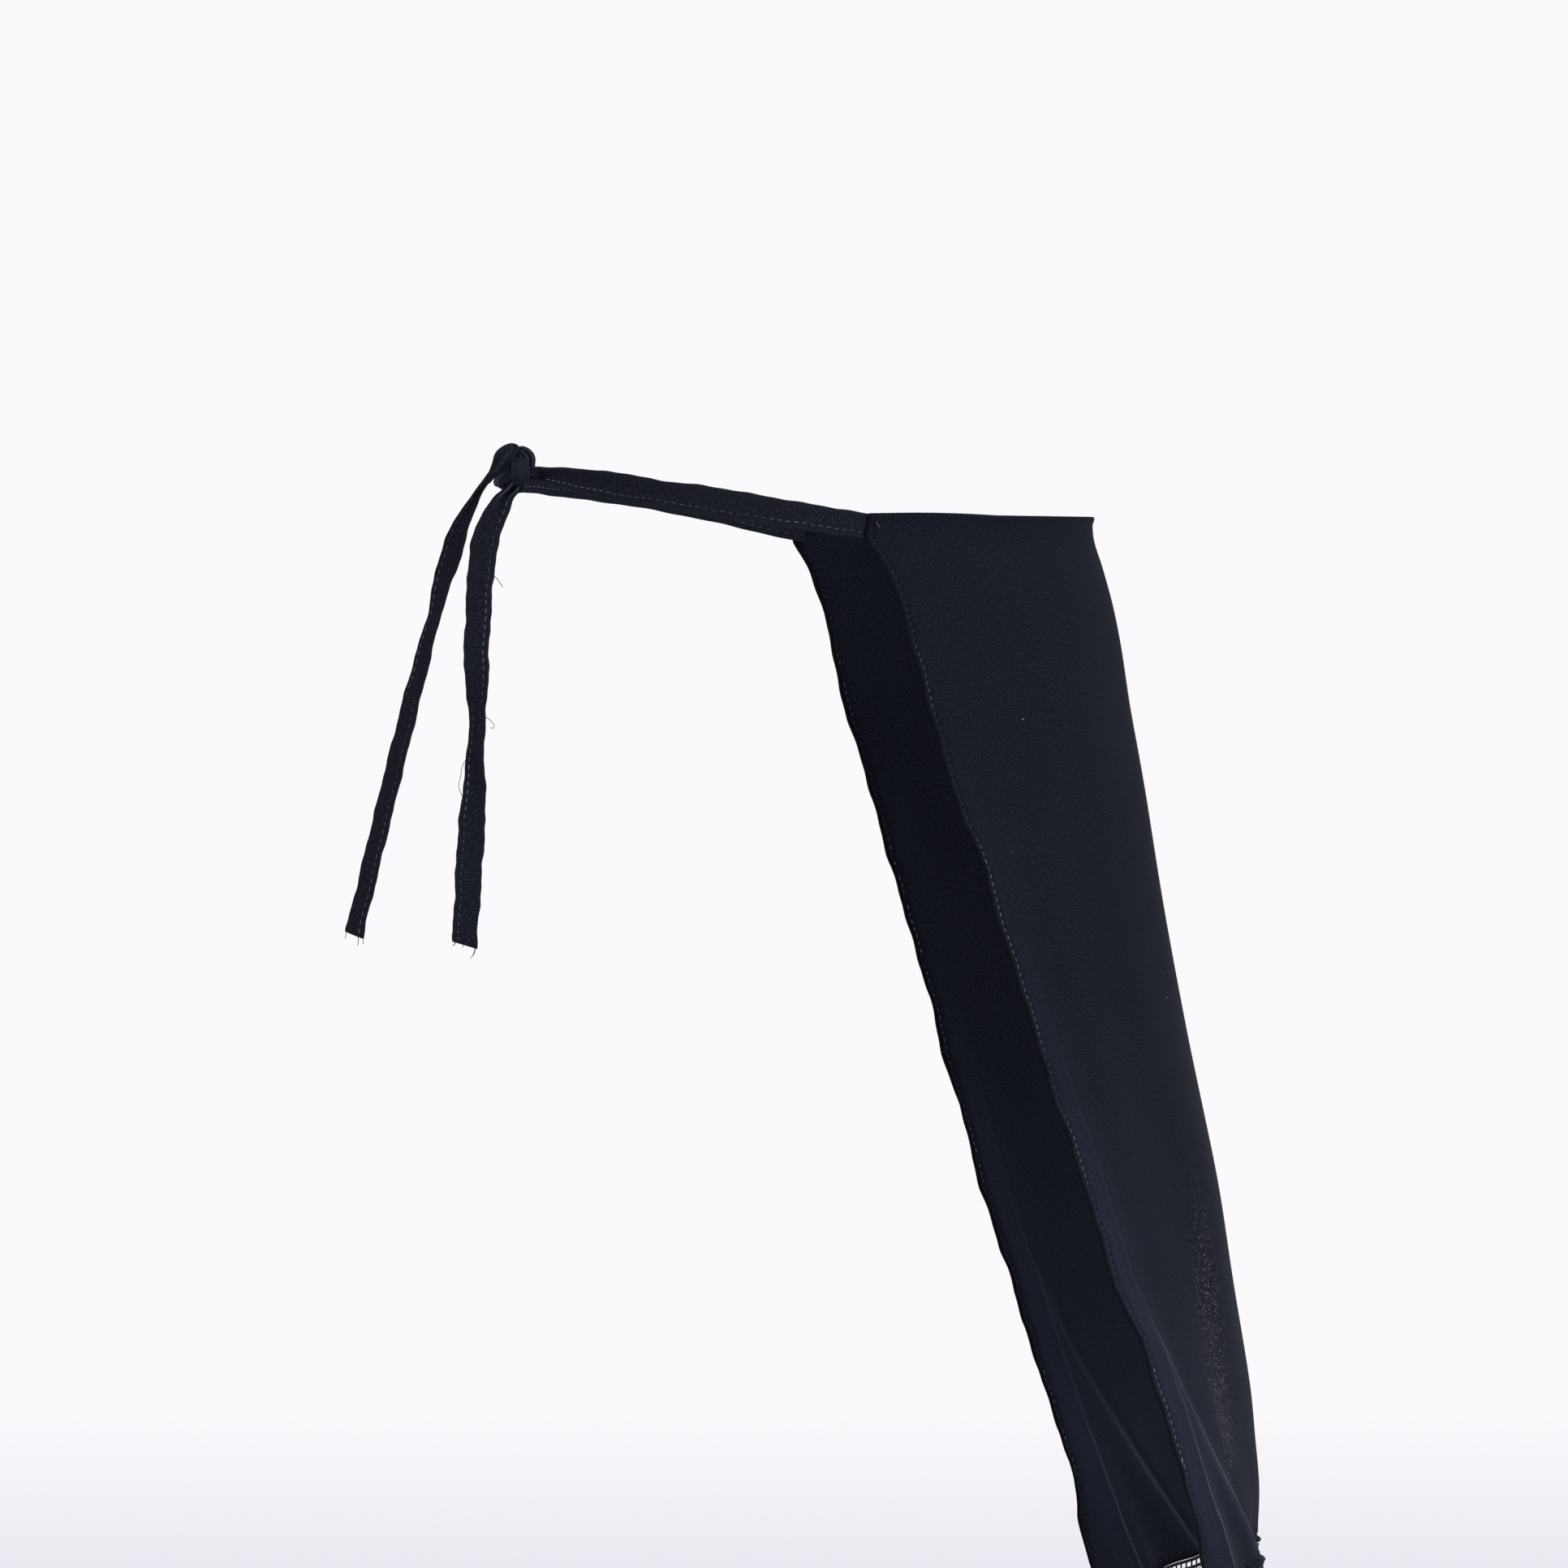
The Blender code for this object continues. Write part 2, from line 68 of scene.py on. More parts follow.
# The face veil: one layer of polyester crepe, cut wider at the foot and held by the ties at its two top
# corners. Its sides and foot have narrow rolled and stitched hems, and its top edge is turned under.
VEIL_TOP = -0.0054
VEIL_TOP_DIP = 0.0009
VEIL_TOP_RISE = 0.0006
VEIL_TOP_RISE_RUN = 0.45
RING_HALF_WIDTH = 0.080
RING_MIDDLE_BACK = 0.012
RING_BACK_RUN = 0.100
CORNER_FORWARD = 0.0132
TOP_FRONT_FORWARD = 0.1119
FOOT_FRONT_FORWARD = 0.1690
FOOT_SIDE_FORWARD = 0.1370
FOOT_HALF_WIDTH = 0.1195
VEIL_CUT_WIDTH = 0.277
VEIL_CUT_LENGTH = 0.432
CREPE_MM = 0.7
HEM_MM = 1.3
HEM_STITCH_MM = 2.7
PLAN_STEPS = 80

# front, side and width are shares of the way from the top edge's value to the foot's, at a share of the drop.
# The runs are the handles of a row's curve, and side_turn is the way it meets the side hem, in degrees.
Section = namedtuple("Section", "drop front side width front_run side_run side_turn")
SECTIONS = [
    Section(0.000, 0.000, 0.000, 0.000, 0.21, 0.62, 82),
    Section(0.020, 0.003, 0.000, 0.010, 0.21, 0.62, 81),
    Section(0.050, 0.064, 0.052, 0.070, 0.21, 0.61, 78),
    Section(0.085, 0.130, 0.094, 0.134, 0.20, 0.60, 74),
    Section(0.125, 0.186, 0.125, 0.172, 0.20, 0.59, 70),
    Section(0.190, 0.248, 0.185, 0.233, 0.24, 0.55, 65),
    Section(0.270, 0.334, 0.268, 0.315, 0.29, 0.51, 60),
    Section(0.400, 0.480, 0.405, 0.470, 0.33, 0.48, 54),
    Section(0.500, 0.604, 0.505, 0.581, 0.36, 0.47, 50),
    Section(0.640, 0.797, 0.646, 0.725, 0.40, 0.46, 44),
    Section(0.740, 0.885, 0.758, 0.831, 0.42, 0.45, 40),
    Section(0.850, 0.982, 0.883, 0.925, 0.43, 0.44, 34),
    Section(0.900, 1.009, 0.926, 0.953, 0.43, 0.435, 31),
    Section(0.950, 1.045, 0.965, 0.979, 0.43, 0.43, 28),
    Section(1.000, 1.050, 1.000, 1.000, 0.43, 0.42, 24),
]

# How far the cloth hangs. The front is shorter than the sides, and a step lies under each inner long fold.
Fall = namedtuple("Fall", "across down")
FALLS = [Fall(0.00, 0.3800), Fall(0.43, 0.3810), Fall(0.54, 0.3866), Fall(0.80, 0.3983), Fall(1.00, 0.4110)]

# The long folds. across is 0 at the front line and 1 at a side hem. A crest is the crisp line on a ridge.
Fold = namedtuple("Fold", "side starts across_top across_foot bend height_mm width crest_mm")
FOLDS = [
    Fold(-1, 0.18, 0.925, 0.83, 11.0, 4.2, 0.036, 0.9),
    Fold(-1, 0.68, 0.945, 0.53, 2.0, 4.4, 0.036, 0.9),
    Fold(-1, 0.68, 0.935, 0.45, 2.0, -3.0, 0.040, 0.0),
    Fold(-1, 0.30, 0.60, 0.34, 6.0, -3.3, 0.085, 0.0),
    Fold(1, 0.20, 0.92, 0.80, 8.0, 3.9, 0.040, 0.8),
    Fold(1, 0.62, 0.93, 0.50, 2.2, 4.5, 0.044, 0.8),
    Fold(1, 0.64, 0.95, 0.62, 2.4, -3.6, 0.040, 0.0),
    Fold(1, 0.34, 0.60, 0.30, 4.6, -3.6, 0.085, 0.0),
    Fold(1, 0.10, 0.31, 0.14, 1.6, 3.4, 0.045, 0.0),
]
# Folds and crests rise by these powers of the way down. A crest's painted highlight is full a third of the
# way down its fold.
# It shows by CREST_PLAIN at each of CREST_DROPS, and painted light by CREST_GLOW lies on the cloth beside it.
# The painted highlights of the crests and the painted specks are fainter on the far half, the left one.
FOLD_GROWTH = 1.2
CREST_GROWTH = 4
CREST_WIDTH = 0.012
CREST_FADE_IN = 3
CREST_CLEAR_MM = 9.0
CREST_DROPS = [0.20, 0.50, 0.66, 0.82, 0.90, 1.00]
CREST_PLAIN = [0.00, 0.04, 0.14, 0.40, 1.00, 0.85]
CREST_GLOW = [0.00, 0.25, 0.50, 0.50, 0.40, 0.30]
FAR_CRESTS = 0.6
FAR_SPECKS = 0.45


def hump(off, reach):
    """A soft hump, 1 where off is 0 and nearly gone at twice its reach."""
    return np.exp(-((off / reach) ** 2))


def through(rows, key, column, at):
    """One column of a table, read smoothly at a place of its key column and without overshoot."""
    places = np.array([getattr(row, key) for row in rows], float)
    values = np.array([getattr(row, column) for row in rows], float)
    steps = np.diff(places)
    slopes = np.diff(values) / steps
    tangents = np.concatenate([slopes[:1], (slopes[:-1] + slopes[1:]) / 2, slopes[-1:]])
    for i, turning in enumerate(slopes[:-1] * slopes[1:] <= 0):
        if turning:
            tangents[i + 1] = 0.0
    i = int(np.clip(np.searchsorted(places, at) - 1, 0, len(steps) - 1))
    u = (at - places[i]) / steps[i]
    start = (1 + 2 * u) * (1 - u) ** 2 * values[i] + u * (1 - u) ** 2 * steps[i] * tangents[i]
    end = u**2 * (3 - 2 * u) * values[i + 1] + u**2 * (u - 1) * steps[i] * tangents[i + 1]
    return float(start + end)


def ring_point(turn):
    """A point of the head opening, by its turn in degrees from straight to one side to straight back."""
    angle = math.radians(turn)
    return Vector(
        (RING_HALF_WIDTH * math.cos(angle), RING_MIDDLE_BACK + RING_BACK_RUN * math.sin(angle), 0.0)
    )


CORNER_TURN = math.degrees(math.asin((-CORNER_FORWARD - RING_MIDDLE_BACK) / RING_BACK_RUN))
CORNER_OUT = ring_point(CORNER_TURN).x


def veil_row(drop, halves):
    """Places and normals' headings along half a row of the veil, at shares of cloth from the front line."""
    read = {column: through(SECTIONS, "drop", column, drop) for column in Section._fields[1:]}
    half_width = CORNER_OUT + (FOOT_HALF_WIDTH - CORNER_OUT) * read["width"]
    front = np.array([0.0, -TOP_FRONT_FORWARD - (FOOT_FRONT_FORWARD - TOP_FRONT_FORWARD) * read["front"]])
    side = np.array([half_width, -CORNER_FORWARD - (FOOT_SIDE_FORWARD - CORNER_FORWARD) * read["side"]])
    turn = math.radians(read["side_turn"])
    front_handle = front + np.array([read["front_run"] * half_width, 0.0])
    side_handle = side - read["side_run"] * half_width * np.array([math.cos(turn), math.sin(turn)])
    u = np.linspace(0.0, 1.0, PLAN_STEPS + 1)[:, None]
    line = (1 - u) ** 3 * front + 3 * u * (1 - u) ** 2 * front_handle
    line = line + 3 * u**2 * (1 - u) * side_handle + u**3 * side
    run = np.concatenate([[0.0], np.cumsum(np.linalg.norm(np.diff(line, axis=0), axis=1))])
    at = halves * run[-1]
    x, y = np.interp(at, run, line[:, 0]), np.interp(at, run, line[:, 1])
    along = np.stack([np.gradient(x, at), np.gradient(y, at)], axis=1)
    along[0] = (1.0, 0.0)
    along /= np.linalg.norm(along, axis=1)[:, None]
    return x, y, along, run[-1]


def fold_push(side, halves, drop):
    """How far the folds push one side of a row outwards, in metres."""
    push = np.zeros(len(halves))
    for fold in FOLDS:
        if fold.side != side or drop <= fold.starts:
            continue
        down = (drop - fold.starts) / (1 - fold.starts)
        middle = fold.across_top + (fold.across_foot - fold.across_top) * down**fold.bend
        away = halves - middle
        push += fold.height_mm / 1000 * down**FOLD_GROWTH * hump(away, fold.width * (1 + down))
        push += fold.crest_mm / 1000 * down**CREST_GROWTH * hump(away, CREST_WIDTH)
    return push


def crest_marks(side, halves, drop):
    """For a side's two crested folds: millimetres from the crest, and how plainly the crest's painted
    highlight shows.
    """
    away, plain = np.full((2, len(halves)), CREST_CLEAR_MM), np.zeros((2, len(halves)))
    for k, fold in enumerate(fold for fold in FOLDS if fold.side == side and fold.crest_mm):
        down = max(0.0, (drop - fold.starts) / (1 - fold.starts))
        middle = fold.across_top + (fold.across_foot - fold.across_top) * down**fold.bend
        away[k] = (halves - middle) * HALF_CLOTH_MM
        plain[k] = min(1.0, CREST_FADE_IN * down) * np.interp(drop, CREST_DROPS, CREST_PLAIN)
    return away, plain


# How far the cloth stands out beside an edge, both in millimetres: the roll, the groove of the stitches.
Roll = namedtuple("Roll", "inside_mm out_mm")
HEM_ROLL = [
    Roll(0.0, -0.45), Roll(0.5, 0.20), Roll(1.0, 0.60), Roll(1.7, 0.50), Roll(2.2, 0.12),
    Roll(2.7, -0.34), Roll(3.2, -0.08), Roll(4.6, 0.06), Roll(7.4, 0.0),
]
FOOT_ROLL = [
    Roll(0.0, 0.60), Roll(0.5, 1.15), Roll(1.0, 1.40), Roll(1.7, 1.05), Roll(2.2, 0.30),
    Roll(2.7, -0.40), Roll(3.2, -0.15), Roll(4.6, 0.06), Roll(7.4, 0.0),
]
TOP_ROLL = [
    Roll(0.0, -0.05), Roll(0.4, 0.40), Roll(0.9, 0.60), Roll(1.3, 0.52), Roll(1.9, 0.25), Roll(3.4, -0.12),
    Roll(5.6, 0.0),
]
EDGE_COLUMNS_MM = [0.0, 0.5, 1.0, 1.6, 2.2, 2.7, 3.2, 3.8, 4.5, 5.3, 6.3, 7.4]
FOOT_ROWS_MM = [0.0, 0.5, 1.0, 1.6, 2.2, 2.7, 3.2, 3.8, 4.6, 5.8]
TOP_ROWS_MM = [0.0, 0.4, 0.9, 1.3, 1.9, 3.4]
HALF_CLOTH_MM = 130.0
VEIL_LONG_MM = 400.0
MIDDLE_COLUMNS = 96
MIDDLE_ROWS = 184

edge_shares = 1 - np.array(EDGE_COLUMNS_MM[::-1]) / HALF_CLOTH_MM
halves = np.concatenate([np.linspace(0, edge_shares[0], MIDDLE_COLUMNS + 1)[:-1], edge_shares])
drops = np.concatenate(
    [
        np.array(TOP_ROWS_MM[:-1]) / VEIL_LONG_MM,
        np.linspace(TOP_ROWS_MM[-1] / VEIL_LONG_MM, 1 - FOOT_ROWS_MM[-1] / VEIL_LONG_MM, MIDDLE_ROWS + 1),
        1 - np.array(FOOT_ROWS_MM[-2::-1]) / VEIL_LONG_MM,
    ]
)
columns, rows = 2 * len(halves) - 1, len(drops)
places = np.zeros((rows, columns, 3))
crest_away = np.zeros((rows, columns, 3))
crest_plain = np.zeros((rows, columns, 3))
cloth_u = np.zeros((rows, columns))
falls = np.array([through(FALLS, "across", "down", half) for half in halves])
for j, drop in enumerate(drops):
    x, y, along, half_run = veil_row(float(drop), halves)
    level = VEIL_TOP - VEIL_TOP_DIP * (1 - halves**2)
    level += VEIL_TOP_RISE * np.sin(math.pi * np.clip((1 - halves) / VEIL_TOP_RISE_RUN, 0, 1))
    for side in (-1, 1):
        push = fold_push(side, halves, float(drop))
        away, plain = crest_marks(side, halves, float(drop))
        put = [side * (x + along[:, 1] * push), y - along[:, 0] * push, level - drop * falls]
        where = slice(len(halves) - 1, None, side)
        places[j, where] = np.stack(put, axis=1)
        crest_away[j, where, :2] = away.T
        crest_plain[j, where, :2] = plain.T * (1.0 if side < 0 else FAR_CRESTS)
        cloth_u[j, where] = side * halves * half_run
cloth_v = np.concatenate(
    [np.zeros((1, columns)), np.cumsum(np.linalg.norm(np.diff(places, axis=0), axis=2), axis=0)]
)


def grid_normals(points):
    """The outward way at each point of the veil's grid, whose rows run down and columns to the left."""
    down, left = np.gradient(points, axis=0), np.gradient(points, axis=1)
    normals = np.cross(down, left)
    return normals / np.linalg.norm(normals, axis=2, keepdims=True)


# The hems are rolled and puckered by their stitches, and the loose cloth waves a little in long drifts.
# Each wave fades away from its edge. Phases and shifts are in turns, and keep the edges from waving alike.
# Below the top edge the waves are calm, and they are full at TOP_CALM_MM and DRIFT_CALM_MM.
Wave = namedtuple("Wave", "long_mm high_mm phase")
HEM_WAVES = [Wave(64.0, 0.75, 0.15), Wave(37.0, 0.45, 0.60), Wave(22.0, 0.25, 0.35)]
HEM_WAVE_REACH_MM = 16.0
EDGE_WAVES = [Wave(47.0, 0.34, 0.30), Wave(26.0, 0.24, 0.85), Wave(13.0, 0.14, 0.55)]
EDGE_WAVE_REACH_MM = 5.0
PUCKERS = [Wave(8.7, 0.16, 0.2), Wave(5.9, 0.10, 0.7)]
PUCKER_INSIDE_MM = 3
PUCKER_REACH_MM = 3.2
TOP_CALM_MM = 40
LEFT_SHIFT = 0.37
FOOT_SHIFT = 0.2
PUCKER_SHIFT = 0.1
FOOT_WAVES = 0.5
Drift = namedtuple("Drift", "across_mm down_mm high_mm phase")
DRIFTS = [Drift(150.0, 95.0, 0.55, 0.1), Drift(88.0, 210.0, 0.40, 0.4), Drift(41.0, 160.0, 0.16, 0.8)]
DRIFT_CALM_MM = 90
DRIFT_TURN = 1.7
DRIFT_LEAN = 0.004
# Where the tie pulls on a top corner, two short creases run into the cloth. The seam over the tie's end
# bends in at the top, and out again where the tie leaves it.
Crease = namedtuple("Crease", "starts_mm slope deep_mm reach_mm")
CORNER_CREASES = [Crease(2.6, 0.30, 0.42, 9.0), Crease(6.4, 0.75, 0.30, 7.0)]
CREASE_WIDE_MM = 1.3
Bend = namedtuple("Bend", "down_mm in_mm reach_mm")
SEAM_BENDS = [Bend(0, 0.7, 3), Bend(9, -0.8, 3.5)]
SEAM_BEND_REACH_MM = 4


def waves(table, along_mm, shift):
    """The height in millimetres of a table's waves, added up along an edge."""
    return sum(
        wave.high_mm * np.sin(2 * math.pi * (along_mm / wave.long_mm + wave.phase + shift)) for wave in table
    )


outward = grid_normals(places)
across_all = np.concatenate([-halves[::-1], halves[1:]])[None, :] * np.ones((rows, 1))
drop_all = drops[:, None] * np.ones((1, columns))
from_side = (1 - abs(across_all)) * HALF_CLOTH_MM
from_foot = (1 - drop_all) * VEIL_LONG_MM
from_top = drop_all * VEIL_LONG_MM
down_mm = cloth_v * 1000
along_mm = cloth_u * 1000
side_shift = np.where(across_all > 0, LEFT_SHIFT, 0.0)
relief = np.interp(from_side, [r.inside_mm for r in HEM_ROLL], [r.out_mm for r in HEM_ROLL])
relief += np.interp(from_foot, [r.inside_mm for r in FOOT_ROLL], [r.out_mm for r in FOOT_ROLL])
relief += np.interp(from_top, [r.inside_mm for r in TOP_ROLL], [r.out_mm for r in TOP_ROLL])
fade_top = np.clip(from_top / TOP_CALM_MM, 0, 1)
relief += waves(HEM_WAVES, down_mm, side_shift) * np.exp(-from_side / HEM_WAVE_REACH_MM) * fade_top
relief += waves(HEM_WAVES, along_mm, FOOT_SHIFT) * FOOT_WAVES * np.exp(-from_foot / HEM_WAVE_REACH_MM)
relief += waves(PUCKERS, down_mm, side_shift) * hump(from_side - PUCKER_INSIDE_MM, PUCKER_REACH_MM)
relief += waves(PUCKERS, along_mm, PUCKER_SHIFT) * hump(from_foot - PUCKER_INSIDE_MM, PUCKER_REACH_MM)
for crease in CORNER_CREASES:
    beside = from_top - crease.starts_mm - crease.slope * from_side
    relief -= crease.deep_mm * hump(beside, CREASE_WIDE_MM) * np.exp(-from_side / crease.reach_mm)
for drift in DRIFTS:
    relief += (
        drift.high_mm
        * np.sin(2 * math.pi * (along_mm / drift.across_mm + drift.phase))
        * np.sin(2 * math.pi * (down_mm / drift.down_mm + DRIFT_TURN * drift.phase + DRIFT_LEAN * along_mm))
        * np.clip(from_top / DRIFT_CALM_MM, 0, 1)
    )
sideways = np.gradient(places, axis=1)
sideways /= np.linalg.norm(sideways, axis=2, keepdims=True)
edge_shift = waves(EDGE_WAVES, down_mm, side_shift) * np.exp(-from_side / EDGE_WAVE_REACH_MM) * fade_top
seam_bend = sum(bend.in_mm * hump(from_top - bend.down_mm, bend.reach_mm) for bend in SEAM_BENDS)
edge_shift -= np.sign(across_all) * seam_bend * np.exp(-from_side / SEAM_BEND_REACH_MM)
places = places + outward * relief[..., None] / 1000 + sideways * edge_shift[..., None] / 1000
outward = grid_normals(places)


def veil_spot(across, drop, lift=0.0):
    """A point on the veil's outer face, by its share of the half width and of the drop, and its normal."""
    i = float(np.interp(across, across_all[0], np.arange(columns)))
    j = float(np.interp(drop, drops, np.arange(rows)))
    i0, j0 = min(int(i), columns - 2), min(int(j), rows - 2)
    a, b = i - i0, j - j0

    def between(field):
        upper = (1 - a) * field[j0, i0] + a * field[j0, i0 + 1]
        lower = (1 - a) * field[j0 + 1, i0] + a * field[j0 + 1, i0 + 1]
        return Vector((1 - b) * upper + b * lower)

    normal = between(outward).normalized()
    return between(places) + normal * lift, normal


bpy.ops.mesh.primitive_grid_add(x_subdivisions=columns - 1, y_subdivisions=rows - 1, size=2)
veil = bpy.context.object
veil.name = "veil_cloth"
veil.data.vertices.foreach_set("co", places[::-1].reshape(-1))
veil.data.uv_layers[0].name = "Cloth"
corner_vertices = np.zeros(len(veil.data.loops), int)
veil.data.loops.foreach_get("vertex_index", corner_vertices)
flat_uv = np.stack([cloth_u, -cloth_v], axis=2)[::-1].reshape(-1, 2)
veil.data.uv_layers["Cloth"].data.foreach_set("uv", flat_uv[corner_vertices].reshape(-1))
# Where the single layer is pulled thin low on its front, specks of light through its open weave are painted
# on, and the cloth that hangs clear is painted paler, as by the light through it. across and reach are shares
# of the half width, at each drop.
Thin = namedtuple("Thin", "drop across reach specks paler")
THIN = [
    Thin(0.45, 0.33, 0.04, 0.0, 0.00),
    Thin(0.60, 0.40, 0.07, 0.4, 0.12),
    Thin(0.68, 0.475, 0.12, 0.8, 0.18),
    Thin(0.75, 0.535, 0.14, 1.0, 0.22),
    Thin(0.82, 0.59, 0.16, 1.0, 0.36),
    Thin(0.87, 0.62, 0.13, 1.0, 0.42),
    Thin(0.91, 0.65, 0.11, 0.8, 0.34),
    Thin(1.00, 0.70, 0.05, 0.0, 0.12),
]
thin_at = {
    column: np.interp(drop_all, [row.drop for row in THIN], [getattr(row, column) for row in THIN])
    for column in Thin._fields[1:]
}
specks_here = thin_at["specks"] * hump(abs(across_all) - thin_at["across"], thin_at["reach"])
specks_here = np.where(across_all > 0, FAR_SPECKS, 1.0) * specks_here
light_and_shade_here = thin_at["paler"] * np.clip(abs(across_all) * 1.5, 0.2, 1)
# Painted light lies on the hem's side of each crest, and painted shade on the other side of the lower one.
Glow = namedtuple("Glow", "aside_mm reach_mm share")
UPPER_GLOW = Glow(5, 6, 1.0)
LOWER_GLOWS = [Glow(2.5, 3, 1.0), Glow(-4, 3, -0.9)]
LOWER_GLOW_SHARE = 0.5
upper_crest, lower_crest = crest_away[..., 0], crest_away[..., 1]
upper_glow = hump(upper_crest - UPPER_GLOW.aside_mm, UPPER_GLOW.reach_mm)
light_and_shade_here += np.interp(drop_all, CREST_DROPS, CREST_GLOW) * upper_glow
light_and_shade_here += LOWER_GLOW_SHARE * crest_plain[..., 1] * sum(
    glow.share * hump(lower_crest - glow.aside_mm, glow.reach_mm) for glow in LOWER_GLOWS
)
# The roll of a hem carries painted shade, blackest at its very edge and in the groove that the stitches pull.
SHADED_EDGE_MM = 1.1
GROOVE_HALF_MM = 0.5
GROOVE_SHADE = 0.7
edge_mm = np.minimum(from_side, from_foot)
groove = hump(edge_mm - HEM_STITCH_MM, GROOVE_HALF_MM) * GROOVE_SHADE
painted_shade_here = np.maximum(1 - edge_mm / SHADED_EDGE_MM, groove)
# Painted specks of light, painted light and painted shade go to the material as one mark.
painted_marks = np.stack([specks_here, light_and_shade_here, np.clip(painted_shade_here, 0, 1)], axis=2)
for mark, values in (("crest_away", crest_away), ("crest_plain", crest_plain), ("painted_light_and_shade", painted_marks)):
    held_mark = veil.data.attributes.new(mark, "FLOAT_VECTOR", "POINT")
    held_mark.data.foreach_set("vector", values[::-1].reshape(-1))
# The wall is thick at the hems, which are folded, and thins to the single layer by 4.8 mm from the edge.
hems = veil.vertex_groups.new(name="Hems")
near_edge = np.clip(1.4 - np.minimum(edge_mm, from_top * 2.5) / 3.4, 0, 1)
for index, weight in enumerate(near_edge[::-1].reshape(-1)):
    if weight > 0:
        hems.add([index], float(weight), "REPLACE")
wall = veil.modifiers.new("Cloth thickness", "SOLIDIFY")
wall.thickness = HEM_MM / 1000
wall.offset = -1.0
wall.vertex_group = hems.name
wall.thickness_vertex_group = CREPE_MM / HEM_MM
bpy.ops.object.modifier_apply(modifier=wall.name)
bpy.ops.object.shade_smooth()


def linear(colour):
    """An sRGB hex colour as the linear colour of a socket."""
    parts = [int(colour[i : i + 2], 16) / 255 for i in (1, 3, 5)]
    return (*[c / 12.92 if c <= 0.04045 else ((c + 0.055) / 1.055) ** 2.4 for c in parts], 1.0)


def add_node(cloth, kind, values=None, links=None, **settings):
    """Adds a node with its settings, the values of its sockets and the links that come into it."""
    made = cloth.node_tree.nodes.new(kind)
    for setting, value in settings.items():
        setattr(made, setting, value)
    for socket, value in (values or {}).items():
        made.inputs[socket].default_value = value
    for socket, (other, output) in (links or {}).items():
        cloth.node_tree.links.new(other.outputs[output], made.inputs[socket])
    return made


# Polyester crepe, piece-dyed near black with a blue cast, woven from hard-twisted yarn. It is matt, with
# hardly any shine, and reads as fine ribs across the cloth. The ribs are 0.6 mm apart, and the pebbled
# grain, really about 0.3 mm, is drawn at 0.8 mm so that it shows. Its crests carry a painted highlight, a
# paler line.
RIB_MM = 0.6
GRAIN_MM = 0.8
MOTTLE_MM = 38.0
SPECK_WIDE_MM = 0.60
SPECK_LONG_MM = 1.5
SPECK_LEAN = -0.20
SPECK_LIGHT = "#857a72"
CREST_LIGHT = "#4c4f5b"
EDGE_SHADE_TONE = "#06070b"
CREST_SHARP_MM = 0.9
CREST_SOFT_MM = 2.4


